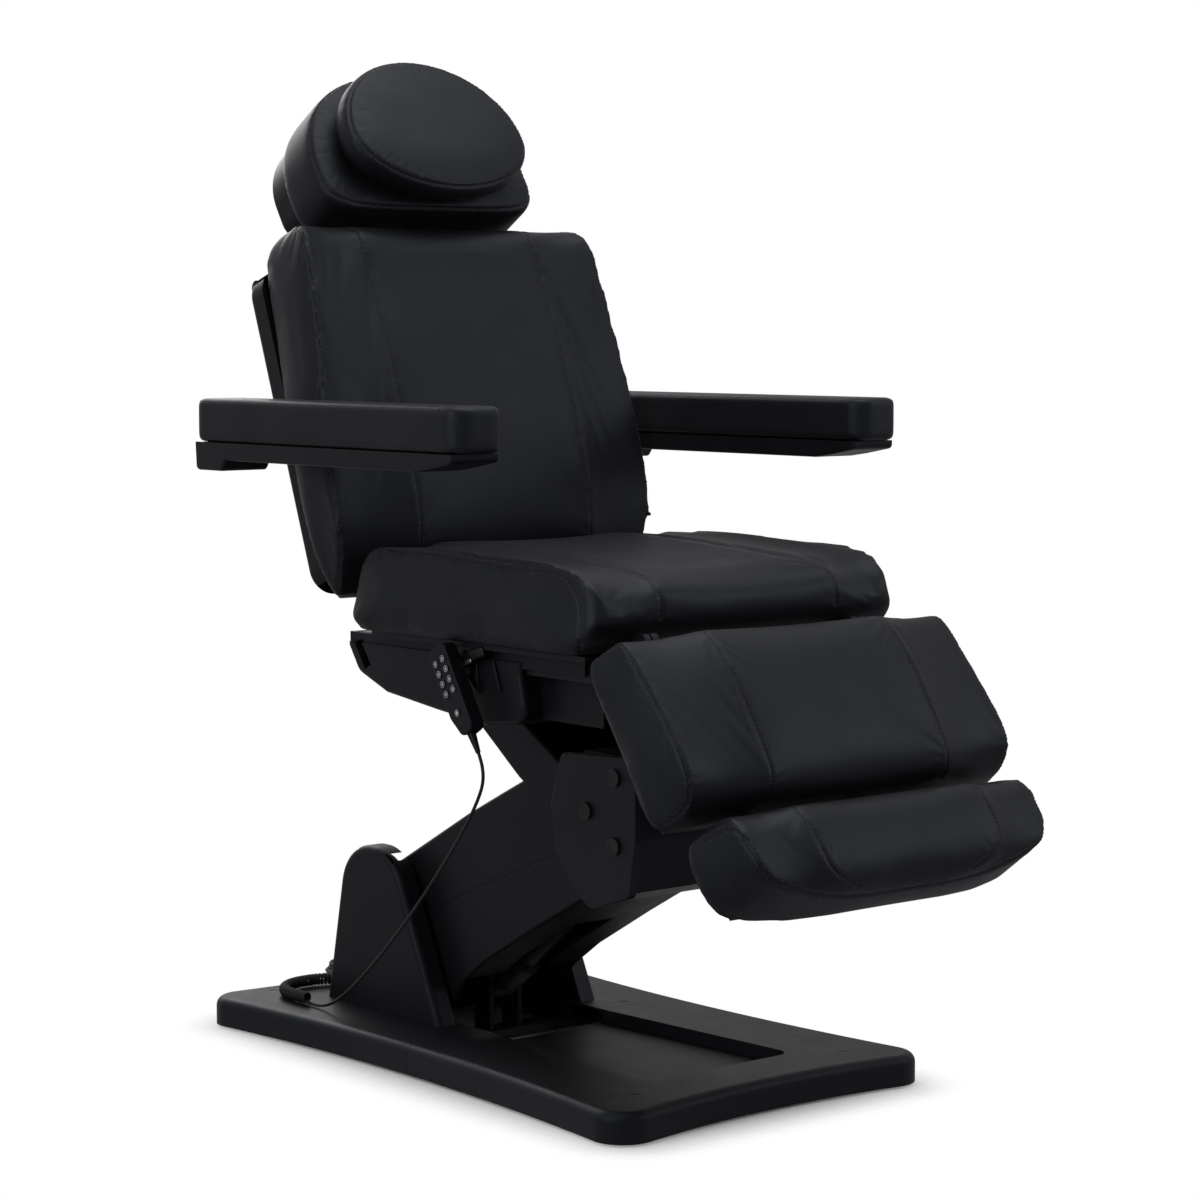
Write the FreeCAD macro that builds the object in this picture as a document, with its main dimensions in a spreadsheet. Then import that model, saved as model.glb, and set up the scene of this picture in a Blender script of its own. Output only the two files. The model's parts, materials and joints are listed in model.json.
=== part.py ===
"""Podiatry chair: an electric treatment chair on a two-arm lift.

Frame: X across the chair, the sitter faces -Y, +Z up, floor at z = 0. Millimetres.
"""
import FreeCAD, Part
import Sketcher
import math
import os

# Driving dimensions
DIMENSIONS = {
    # Floor base and its two covers
    "base_front": -395, "base_rear": 660, "base_half_end": 312, "base_half_waist": 270,
    "base_seam": 150, "base_front_dip": 38, "base_rear_dip": 24, "base_side_dip": 10.5,
    "base_bottom": 4, "base_top": 48, "base_corner_round": 48, "base_edge_round": 15,
    "cover_wall": 4, "seam_gap": 0.6,
    "tray_front": -255, "tray_half_front": 142, "tray_half_rear": 117, "tray_floor": 27,
    "frame_rail_inner": 178, "frame_rail_outer": 218, "frame_rail_low": 8, "frame_rail_high": 38,
    "cross_bar_high": 20, "cross_bar_wide": 40,
    "foot_radius": 22, "foot_across": 235, "foot_front": -270, "foot_rear": 590,
    "screw_radius": 6, "front_screw_across": 204, "front_screw_y": -300, "mid_screw_across": 177,
    "mid_screw_y": 172, "rear_screw_across": 204, "rear_screw_y": 600,
    # Stand at the rear of the base
    "stand_inner": 126, "stand_outer": 160, "stand_front": 216, "stand_rear": 514, "stand_top": 307,
    "stand_crown_front": 338, "stand_crown_rear": 462, "stand_crown_round": 78, "stand_edge_round": 11,
    "upright_inner": 128.5, "upright_outer": 136.5, "stand_pivot_y": 395, "stand_pivot_z": 220,
    "shaft_radius": 15, "fit_gap": 0.05, "panel_thick": 4, "panel_high": 195, "box_half": 92,
    "box_front": 424,
    "box_rear": 472, "box_top": 150,
    # Two-arm lift
    "lower_half": 115, "arm_wall": 4, "lower_cheek_inner": 94, "lower_cheek_outer": 102,
    "upper_half": 135, "upper_cheek_inner": 120.5, "upper_cheek_outer": 126.5,
    "knuckle_inner": 146, "knuckle_outer": 158, "bolt_radius": 8, "bolt_head_radius": 13, "bolt_head": 5,
    "lower_bolt_y": -202, "lower_bolt_z": 383, "upper_bolt_y": -139, "upper_bolt_z": 427,
    "spacer_bolt_y": -202, "spacer_bolt_z": 482, "open_pivot_gap": 7,
    "seat_pivot_y": 190, "seat_pivot_z": 600, "trunnion_radius": 13,
    # Lift motor
    "motor_foot_y": 270, "motor_foot_z": 82, "motor_head_y": -40, "motor_head_z": 330,
    "motor_pin_radius": 8, "rod_radius": 8, "rod_gap": 0.4, "tube_radius": 18, "housing_radius": 27,
    # Seat
    "seat_half": 304, "back_half_low": 332, "back_half_high": 282, "leg_half": 328, "foot_half": 308,
    "seam_across": 169, "seat_front": -318, "seat_rear": 259, "seat_bottom": 668,
    "seat_side_high": 138, "seat_centre_high": 118, "pan_thick": 8, "pad_gap": 1.2,
    "skirt_half": 250, "skirt_bulge": 5, "skirt_ledge": 645, "skirt_top": 659.6, "rail_inner": 220,
    "rail_outer": 243, "rail_low": 628,
    "skirt_rear": 315, "skirt_front": -122, "skirt_round": 26, "skirt_bridge": 92, "skirt_slot_low": 596,
    "nose_half": 212, "nose_front": -246, "skirt_nose_low": 562,
    # Backrest
    "back_hinge_y": 300, "back_hinge_z": 690, "back_tilt": 20, "back_low": 22, "back_high": 600,
    "back_rear_face": -14, "back_seam_face": 98, "back_centre_face": 110, "shell_depth": 40,
    "hinge_pin_radius": 6, "hinge_boss_radius": 14, "fork_inner": 188, "fork_outer": 200,
    "lug_inner": 203, "lug_outer": 213, "fork_drop": 64, "fork_slot_half": 12.5, "fork_arm": 7,
    "back_fork_swing": 32,
    "back_rail_rear": 40, "back_rail_top": 545, "back_board_half": 262, "shell_half": 285, "shell_low": 40,
    "shell_high": 560, "shell_corner": 40, "handle_depth": 120, "handle_high": 568, "handle_radius": 13,
    "handle_half": 220, "bracket_inner": 40, "bracket_outer": 50, "ear_inner": 52, "ear_outer": 60,
    # Motors under the seat
    "motor_across": 168, "motor_height": 626, "motor_long": 172, "housing_long": 70, "fork_pin_radius": 6,
    "back_motor_y": 60, "leg_motor_y": 20, "rod_inside": 120, "hanger_half": 12,
    # Legrest and footrest
    "leg_hinge_y": -322, "leg_hinge_z": 690, "leg_tilt": 33.8, "leg_low": -286, "leg_high": -20,
    "leg_rear_face": -18, "leg_seam_face": 87, "leg_centre_face": 93, "board_thick": 11,
    "foot_low": -449, "foot_high": -301, "foot_rear_face": -8, "foot_seam_face": 112, "foot_centre_face": 121,
    "slide_across": 110, "slide_radius": 9, "sleeve_radius": 14, "slide_depth": 46, "sleeve_top": -60,
    "leg_fork_swing": 18, "leg_board_half": 285, "foot_board_half": 240,
    # Headrest
    "head_hinge_y": 486, "head_hinge_z": 1261, "head_tilt": 32, "head_half": 211, "head_low": 2,
    "head_high": 264, "head_rear_face": -15.2, "head_seam_face": 86, "pillow_half": 176,
    "pillow_low": -6, "pillow_high": 247, "pillow_thick": 62, "head_pin_y": 527, "head_pin_z": 1236,
    "head_board_thick": 37.7, "head_corner": 48, "back_flare": 18,
    # Armrests
    "arm_across": 385, "arm_half": 45, "arm_front": -190, "arm_rear": 474, "arm_pad_low": 951,
    "arm_pad_high": 1018, "arm_tray_low": 922, "arm_block_low": 906, "arm_pivot_y": 418, "arm_pivot_z": 928,
    "arm_pin_radius": 10, "tray_set_back": 16, "tray_scoop": 88,
    # Handset
    "handset_top_y": 35, "handset_top_z": 660, "handset_tilt": 31, "handset_long": 140,
    "handset_half": 21, "handset_back": -276, "handset_split": -288, "handset_face": -300,
    "relief_long": 30, "relief_top_radius": 6.5, "relief_end_radius": 3.6, "hook_pin_radius": 4,
    "hook_low": -50,
    "hook_high": -14, "button_radius": 5.2, "button_gap": 0.3, "button_proud": 1.4, "button_deep": 8,
    "button_column": 9.5, "button_first_row": -23, "button_row_step": 16.2, "button_last_row": -106,
    # Cords
    "lead_radius": 2.5, "curl_radius": 7, "curl_turns": 40, "curl_height": 58.8, "curl_start_x": -222,
    "curl_start_y": 468, "curl_socket_x": -82, "curl_socket_y": 526, "curl_first_bend": 70,
    "curl_last_bend": 60,
    "socket_radius": 10, "mains_radius": 3.25, "gland_x": 12, "gland_z": 96, "gland_radius": 8,
    "gland_start": 499,
    "gland_taper": 520, "gland_end": 546, "coil_x": 92, "coil_y": 795, "coil_outer": 46, "coil_pitch": 8.1,
    "coil_layer": 6.95, "coil_bottom": 3.7, "plug_grip": 15, "plug_flange": 24, "plug_grip_long": 32,
    "plug_flange_long": 14, "plug_pin_radius": 2.4, "plug_lead": 52, "plug_pin_long": 19,
    "plug_pin_across": 9.5,
}

doc = FreeCAD.newDocument("podiatry_chair")
sheet = doc.addObject("Spreadsheet::Sheet", "Dims")
for row, (alias, number) in enumerate(DIMENSIONS.items(), start=1):
    sheet.set(f"A{row}", alias)
    sheet.set(f"B{row}", str(number))
    sheet.setAlias(f"B{row}", alias)
doc.recompute()

NODES = {}
Vector = FreeCAD.Vector


class Length:
    """A number together with the sheet formula that gives it."""

    def __init__(self, value, formula):
        self.value = value
        self.formula = formula

    def join(self, other, sign, value):
        return Length(value, f"({self.formula} {sign} {as_length(other).formula})")

    def __add__(self, other):
        return self.join(other, "+", self.value + as_length(other).value)

    def __sub__(self, other):
        return self.join(other, "-", self.value - as_length(other).value)

    def __mul__(self, other):
        return self.join(other, "*", self.value * as_length(other).value)

    def __truediv__(self, other):
        return self.join(other, "/", self.value / as_length(other).value)

    def __neg__(self):
        return Length(-self.value, f"(-{self.formula})")


def as_length(number):
    return number if isinstance(number, Length) else Length(float(number), repr(float(number)))


def dim(alias):
    """The sheet cell of that name."""
    return Length(float(getattr(sheet, alias)), f"Dims.{alias}")


def bind(thing, prop, length):
    thing.setExpression(prop, as_length(length).formula)


def place(thing, x=0, y=0, z=0, tilt=0):
    """Set a Placement bound to the sheet: a turn about X, then a move."""
    thing.Placement = FreeCAD.Placement(Vector(), FreeCAD.Rotation(Vector(1, 0, 0), 0))
    for axis, length in (("x", x), ("y", y), ("z", z)):
        bind(thing, f"Placement.Base.{axis}", length)
    if as_length(tilt).value:
        thing.Placement.Rotation = FreeCAD.Rotation(Vector(1, 0, 0), as_length(tilt).value)
        bind(thing, "Placement.Rotation.Angle", tilt)


def keep(node, thing):
    """Name a finished object as a sub-part of the chair."""
    thing.Label = node
    NODES[node] = thing
    return thing


# Sketches, pads and pockets
def outline(body, plane, corners, start):
    """A closed sketch through corners (across, up) with an optional bulge to the left of the next side."""
    sketch = body.newObject("Sketcher::SketchObject", "outline")
    support = [feature for feature in body.Origin.OriginFeatures if feature.Role == plane]
    sketch.AttachmentSupport = [(support[0], "")]
    sketch.MapMode = "FlatFace"
    bind(sketch, "AttachmentOffset.Base.z", start)
    spots = [Vector(as_length(corner[0]).value, as_length(corner[1]).value, 0) for corner in corners]
    count = len(corners)
    for index, corner in enumerate(corners):
        first = spots[index]
        last = spots[(index + 1) % count]
        if len(corner) > 2:
            along = (last - first).normalize()
            bulge = as_length(corner[2]).value
            middle = (first + last) * 0.5 + Vector(-along.y, along.x, 0) * bulge
            ends = (last, first) if bulge > 0 else (first, last)
            sketch.addGeometry(Part.Arc(ends[0], middle, ends[1]), False)
        else:
            sketch.addGeometry(Part.LineSegment(first, last), False)
    starts = []
    for index in range(count):
        forward = sketch.Geometry[index].StartPoint.distanceToPoint(spots[index]) < 1e-6
        starts.append((1, 2) if forward else (2, 1))
    for index in range(count):
        after = (index + 1) % count
        sketch.addConstraint(
            Sketcher.Constraint("Coincident", index, starts[index][1], after, starts[after][0]))
    for index, corner in enumerate(corners):
        for kind, length in zip(("DistanceX", "DistanceY"), corner[:2]):
            number = sketch.addConstraint(
                Sketcher.Constraint(kind, -1, 1, index, starts[index][0], as_length(length).value))
            bind(sketch, f"Constraints[{number}]", length)
        if len(corner) > 2:
            following = corners[(index + 1) % count]
            reach = [as_length(following[k]) - corner[k] for k in (0, 1)]
            bulge = as_length(corner[2])
            if bulge.value < 0:
                bulge = -bulge
            radius = (reach[0] * reach[0] + reach[1] * reach[1]) / (bulge * 8) + bulge / 2
            number = sketch.addConstraint(Sketcher.Constraint("Radius", index, radius.value))
            bind(sketch, f"Constraints[{number}]", radius)
    return sketch


def prism(name, plane, corners, start, depth):
    """A body padded along the plane's normal from start."""
    body = doc.addObject("PartDesign::Body", name)
    pad = body.newObject("PartDesign::Pad", "pad")
    pad.Profile = outline(body, plane, corners, start)
    bind(pad, "Length", depth)
    doc.recompute()
    return body


def add_prism(body, plane, corners, start, depth):
    pad = body.newObject("PartDesign::Pad", "pad")
    pad.Profile = outline(body, plane, corners, start)
    bind(pad, "Length", depth)
    doc.recompute()


def cut_prism(body, plane, corners, start, depth):
    """Pocket along the plane's normal from start, which has to take material away."""
    before = body.Shape.Volume
    pocket = body.newObject("PartDesign::Pocket", "pocket")
    pocket.Profile = outline(body, plane, corners, start)
    pocket.Reversed = True
    bind(pocket, "Length", depth)
    doc.recompute()
    if body.Shape.Volume >= before:
        raise RuntimeError(f"a pocket in {body.Name} cuts nothing")


def round_edges(body, radius, wanted):
    """Fillet the edges that the test picks."""
    base = body.Tip
    names = [f"Edge{number}" for number, edge in enumerate(base.Shape.Edges, start=1) if wanted(edge)]
    fillet = body.newObject("PartDesign::Fillet", "rounding")
    fillet.Base = (base, names)
    bind(fillet, "Radius", radius)
    doc.recompute()


def inset(corners, wall, open_sides=()):
    """The outline drawn in by wall on every side, or out by wall on the open sides."""
    spots = [(as_length(corner[0]).value, as_length(corner[1]).value) for corner in corners]
    count = len(spots)
    area = sum(spots[k][0] * spots[(k + 1) % count][1] - spots[(k + 1) % count][0] * spots[k][1]
               for k in range(count))
    normals = []
    for k in range(count):
        run = (spots[(k + 1) % count][0] - spots[k][0], spots[(k + 1) % count][1] - spots[k][1])
        size = math.hypot(*run) * math.copysign(1, area)
        normals.append((-run[1] / size, run[0] / size))
    moved = []
    for k, corner in enumerate(corners):
        before, after = normals[k - 1], normals[k]
        signs = [-1 if side % count in open_sides else 1 for side in (k - 1, k)]
        turn = before[0] * after[1] - before[1] * after[0]
        if signs[0] == signs[1]:
            spread = signs[0] / (1 + before[0] * after[0] + before[1] * after[1])
            shift = ((before[0] + after[0]) * spread, (before[1] + after[1]) * spread)
        else:
            shift = ((signs[0] * after[1] - signs[1] * before[1]) / turn,
                     (signs[1] * before[0] - signs[0] * after[0]) / turn)
        moved.append((as_length(corner[0]) + wall * shift[0], as_length(corner[1]) + wall * shift[1],
                      *corner[2:]))
    return moved


def at_level(axis, level):
    """A test for edges or faces that lie wholly at one X, Y or Z."""
    def test(item):
        box = item.BoundBox
        low = (box.XMin, box.YMin, box.ZMin)[axis]
        high = (box.XMax, box.YMax, box.ZMax)[axis]
        return abs(low - level) < 0.01 and abs(high - level) < 0.01
    return test


def near(corners, axes=(1, 2)):
    """A test for straight edges that pass one of these corners, seen along the pad."""
    spots = [tuple(as_length(part).value for part in corner[:2]) for corner in corners]

    def test(edge):
        first = edge.Vertexes[0].Point
        last = edge.Vertexes[-1].Point
        return any(all(abs(point[axis] - spot[k]) < 0.01 for point in (first, last)
                       for k, axis in enumerate(axes)) for spot in spots)
    return test


# Plain solids
def box(x_low, x_high, y_low, y_high, z_low, z_high):
    block = doc.addObject("Part::Box", "block")
    spans = ((x_low, x_high, "Length"), (y_low, y_high, "Width"), (z_low, z_high, "Height"))
    for low, high, prop in spans:
        bind(block, prop, as_length(high) - low)
    place(block, x_low, y_low, z_low)
    return block


def rod_x(y, z, radius, x_low, x_high):
    """A round bar across the chair."""
    bar = doc.addObject("Part::Cylinder", "bar")
    bind(bar, "Radius", radius)
    bind(bar, "Height", as_length(x_high) - x_low)
    place(bar, x_low, y, z)
    bar.Placement.Rotation = FreeCAD.Rotation(Vector(0, 1, 0), 90)
    return bar


def rod_z(x, y, radius, z_low, z_high):
    """An upright round bar."""
    bar = doc.addObject("Part::Cylinder", "bar")
    bind(bar, "Radius", radius)
    bind(bar, "Height", as_length(z_high) - z_low)
    place(bar, x, y, z_low)
    return bar


def rod_y(x, z, radius, y_low, y_high):
    """A round bar along the chair."""
    bar = doc.addObject("Part::Cylinder", "bar")
    bind(bar, "Radius", radius)
    bind(bar, "Height", as_length(y_high) - y_low)
    place(bar, x, y_low, z)
    bar.Placement.Rotation = FreeCAD.Rotation(Vector(1, 0, 0), -90)
    return bar


def fuse(*things):
    joined = doc.addObject("Part::MultiFuse", "joined")
    joined.Shapes = list(things)
    joined.Refine = True
    return joined


def cut(base, *tools):
    result = doc.addObject("Part::Cut", "cut")
    result.Base = base
    result.Tool = tools[0] if len(tools) == 1 else fuse(*tools)
    result.Refine = True
    return result


def group(*things):
    """Separate solids that share one node."""
    bundle = doc.addObject("Part::Compound", "bundle")
    bundle.Links = list(things)
    return bundle


def mirrored(thing):
    twin = doc.addObject("Part::Mirroring", "twin")
    twin.Source = thing
    twin.Normal = Vector(1, 0, 0)
    return twin


def both_sides(make, *sizes):
    """The same solid on the right and the left of the chair."""
    solid = make(*sizes)
    return [solid, mirrored(solid)]


# Floor base
def base_cover(node, corners):
    """One half of the base cover: a hollow moulding with rolled edges."""
    bottom = dim("base_bottom")
    high = dim("base_top") - bottom
    wall = dim("cover_wall")
    corner = dim("base_corner_round")
    outer = prism(node, "XY_Plane", corners, bottom, high)
    round_edges(outer, corner, near(corners[1:3], (0, 1)))
    top = at_level(2, dim("base_top").value)
    at_seam = at_level(1, corners[0][1].value)
    round_edges(outer, dim("base_edge_round"), lambda edge: top(edge) and not at_seam(edge))
    inner = inset(corners, wall * 2.5, open_sides=(3,))
    cavity = prism("cavity", "XY_Plane", inner, bottom - wall, high)
    round_edges(cavity, corner - wall, near(inner[1:3], (0, 1)))
    return cut(outer, cavity)


def screw_holes(across, along):
    return both_sides(rod_z, dim(across), dim(along), dim("screw_radius") + dim("fit_gap"),
                      dim("base_bottom"), dim("base_top") * 2)


def base_cover_front():
    """Front half of the base cover, with the shallow tray in its top."""
    waist = dim("base_half_waist")
    end = dim("base_half_end")
    side_dip = dim("base_side_dip")
    seam = dim("base_seam") - dim("seam_gap") / 2
    cover = base_cover("front_cover", [(-waist, seam, side_dip),
                                       (-end, dim("base_front"), dim("base_front_dip")),
                                       (end, dim("base_front"), side_dip), (waist, seam)])
    wall = dim("cover_wall")
    wide = dim("tray_half_front")
    slim = dim("tray_half_rear")
    front = dim("tray_front")
    floor = dim("tray_floor")
    tray = [(-wide, front), (wide, front), (slim, seam), (-slim, seam)]
    rim = [(-wide - wall, front - wall), (wide + wall, front - wall), (slim + wall, seam),
           (-slim - wall, seam)]
    tub = prism("tray_tub", "XY_Plane", rim, floor - wall, dim("base_top") - floor)
    hollow = prism("tray_hollow", "XY_Plane", tray, floor, dim("base_top"))
    round_edges(hollow, wall * 6, near(tray[:2], (0, 1)))
    holes = screw_holes("front_screw_across", "front_screw_y")
    keep("base_cover_front", cut(fuse(cover, tub), hollow, *holes))


def base_cover_rear():
    """Rear half of the base cover, open for the lift and the two uprights."""
    waist = dim("base_half_waist")
    end = dim("base_half_end")
    side_dip = dim("base_side_dip")
    seam = dim("base_seam") + dim("seam_gap") / 2
    cover = base_cover("rear_cover", [(waist, seam, side_dip), (end, dim("base_rear"), dim("base_rear_dip")),
                                      (-end, dim("base_rear"), side_dip), (-waist, seam)])
    wall = dim("cover_wall")
    slim = dim("tray_half_rear")
    bottom = dim("base_bottom")
    top = dim("base_top") * 2
    openings = [box(-slim, slim, seam - wall, dim("stand_rear") - wall * 8, bottom - wall, top)]
    openings += both_sides(box, dim("upright_inner"), dim("upright_outer") + wall,
                           dim("stand_front") + wall * 5,
                           dim("stand_rear") - wall * 5, bottom - wall, top)
    holes = screw_holes("mid_screw_across", "mid_screw_y") + screw_holes("rear_screw_across", "rear_screw_y")
    keep("base_cover_rear", cut(cover, *openings, *holes))


def base_screws():
    screws = []
    for across, along in (("front_screw_across", "front_screw_y"), ("mid_screw_across", "mid_screw_y"),
                          ("rear_screw_across", "rear_screw_y")):
        screws += both_sides(rod_z, dim(across), dim(along), dim("screw_radius"),
                             dim("frame_rail_high"), dim("base_top") - dim("seam_gap"))
    keep("base_screws", group(*screws))


def levelling_feet():
    feet = []
    for along in ("foot_front", "foot_rear"):
        feet += both_sides(rod_z, dim("foot_across"), dim(along), dim("foot_radius"), 0,
                           dim("base_bottom") * 2)
    keep("levelling_feet", group(*feet))


def stand_outline(inset):
    """The tombstone outline of the stand, drawn in by inset."""
    return [(dim("stand_front") + inset * 2, dim("base_top")),
            (dim("stand_rear") - inset * 2, dim("base_top")),
            (dim("stand_crown_rear") - inset, dim("stand_top") - inset),
            (dim("stand_crown_front") + inset, dim("stand_top") - inset)]


def stand_covers():
    """The two tombstone side covers, hollow towards the lift."""
    corners = stand_outline(as_length(0))
    thick = dim("stand_outer") - dim("stand_inner")
    body = prism("stand_cover_left", "YZ_Plane", corners, dim("stand_inner"), thick)
    round_edges(body, dim("stand_crown_round"), near(corners[2:]))
    outer = at_level(0, dim("stand_outer").value)
    foot = at_level(2, dim("base_top").value)
    round_edges(body, dim("stand_edge_round"), lambda edge: outer(edge) and not foot(edge))
    wall = dim("cover_wall")
    cavity = inset(corners, wall * 2, open_sides=(0,))
    cut_prism(body, "YZ_Plane", cavity, dim("stand_inner") - wall, thick)
    keep("stand_cover_left", body)
    keep("stand_cover_right", mirrored(body))


def base_frame():
    """Welded floor frame with two uprights that carry the lower pivot shaft."""
    inset = dim("cover_wall") * 3
    corners = stand_outline(inset)
    corners[0] = (corners[0][0], dim("base_bottom") * 2)
    corners[1] = (corners[1][0], dim("base_bottom") * 2)
    thick = dim("upright_outer") - dim("upright_inner")
    upright = prism("upright", "YZ_Plane", corners, dim("upright_inner"), thick)
    round_edges(upright, dim("stand_crown_round") * 0.8, near(corners[2:]))
    wide = dim("cross_bar_wide")
    rails = both_sides(box, dim("frame_rail_inner"), dim("frame_rail_outer"), dim("foot_front") - wide / 2,
                       dim("base_rear") - wide * 1.3, dim("frame_rail_low"), dim("frame_rail_high"))
    bars = []
    for along in (dim("foot_front"), dim("stand_front") + wide, dim("stand_rear") - wide, dim("foot_rear")):
        bars.append(box(-dim("frame_rail_outer"), dim("frame_rail_outer"), along - wide / 2, along + wide / 2,
                        dim("frame_rail_low"), dim("cross_bar_high")))
    pads = []
    for along in ("foot_front", "foot_rear"):
        pads += both_sides(box, dim("frame_rail_outer") - wide, dim("foot_across") + wide / 2,
                           dim(along) - wide / 2, dim(along) + wide / 2, dim("base_bottom") * 2,
                           dim("cross_bar_high"))
    lugs = both_sides(box, dim("motor_pin_radius") * 3, dim("motor_pin_radius") * 4,
                      dim("motor_foot_y") - wide / 2, dim("motor_foot_y") + wide / 2,
                      dim("frame_rail_low"), dim("motor_foot_z") + wide / 2)
    pin = rod_x(dim("motor_foot_y"), dim("motor_foot_z"), dim("motor_pin_radius"),
                -dim("motor_pin_radius") * 4, dim("motor_pin_radius") * 4)
    frame = fuse(upright, mirrored(upright), *rails, *bars, *pads, *lugs, pin)
    bore = rod_x(dim("stand_pivot_y"), dim("stand_pivot_z"), dim("shaft_radius") + dim("fit_gap"),
                 -dim("stand_outer"), dim("stand_outer"))
    keep("base_frame", cut(frame, bore))
    keep("lower_pivot_shaft", rod_x(dim("stand_pivot_y"), dim("stand_pivot_z"), dim("shaft_radius"),
                                    -dim("upright_outer") - 8, dim("upright_outer") + 8))


def stand_inside():
    """Control box, rear panel and the two cord fittings on it."""
    thick = dim("panel_thick")
    half = dim("stand_inner") - dim("seam_gap")
    rear = dim("stand_rear") - thick * 2
    lean = (dim("stand_rear") - dim("stand_crown_rear")) * 0.75
    panel = [(rear - thick, dim("base_top")), (rear, dim("base_top")),
             (rear - lean, dim("base_top") + dim("panel_high")),
             (rear - lean - thick, dim("base_top") + dim("panel_high"))]
    keep("stand_rear_panel", prism("stand_rear_panel", "YZ_Plane", panel, -half, half * 2))
    keep("control_box", box(-dim("box_half"), dim("box_half"), dim("box_front"), dim("box_rear"),
                            dim("cross_bar_high"), dim("box_top")))
    gland = rod_y(dim("gland_x"), dim("gland_z"), dim("gland_radius"), dim("gland_start"), dim("gland_taper"))
    taper = doc.addObject("Part::Cone", "taper")
    bind(taper, "Radius1", dim("gland_radius") - 1)
    bind(taper, "Radius2", dim("mains_radius") + 1)
    bind(taper, "Height", dim("gland_end") - dim("gland_taper"))
    place(taper, dim("gland_x"), dim("gland_taper"), dim("gland_z"))
    taper.Placement.Rotation = FreeCAD.Rotation(Vector(1, 0, 0), -90)
    socket = rod_y(dim("curl_socket_x"), dim("curl_height") + dim("curl_radius"), dim("socket_radius"), rear,
                   dim("curl_socket_y"))
    keep("cord_fittings", group(fuse(gland, taper), socket))


base_cover_front()
base_cover_rear()
base_screws()
levelling_feet()
stand_covers()
base_frame()
stand_inside()


# Two-arm lift
def arm_shell(corners, half, open_sides, soft=()):
    """A moulded arm cover: a channel across the chair, open on the sides that are named."""
    body = prism("arm_shell", "YZ_Plane", corners, -half, half * 2)
    wall = dim("arm_wall")
    if soft:
        round_edges(body, wall * 4, near([corners[index] for index in soft]))
    outer_left = at_level(0, half.value)
    outer_right = at_level(0, -half.value)
    seams = [(corners[k], corners[(k + 1) % len(corners)]) for k in open_sides]

    def on_rim(edge):
        if not (outer_left(edge) or outer_right(edge)):
            return False
        middle = edge.valueAt((edge.FirstParameter + edge.LastParameter) / 2)
        for first, last in seams:
            start = Vector(0, as_length(first[0]).value, as_length(first[1]).value)
            finish = Vector(0, as_length(last[0]).value, as_length(last[1]).value)
            flat = Vector(0, middle.y, middle.z)
            if (flat - start).cross(finish - start).Length < (finish - start).Length:
                return False
        return True

    round_edges(body, wall * 1.5, on_rim)
    cut_prism(body, "YZ_Plane", inset(corners, wall * 1.6, open_sides), -half + wall, (half - wall) * 2)
    return body


def bar_plate(name, spots, half_wide, x_low, x_high):
    """A flat bar with square ends from one (y, z) spot to the next."""
    first, last = spots
    run = (last[0].value - first[0].value, last[1].value - first[1].value)
    size = math.hypot(*run)
    along = (run[0] / size, run[1] / size)
    corners = []
    for spot, end, side in ((first, -1, -1), (last, 1, -1), (last, 1, 1), (first, -1, 1)):
        corners.append((spot[0] + half_wide * (along[0] * end - along[1] * side),
                        spot[1] + half_wide * (along[1] * end + along[0] * side)))
    body = prism(name, "YZ_Plane", corners, x_low, x_high - x_low)
    round_edges(body, half_wide * 0.9, near(corners))
    return body


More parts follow.
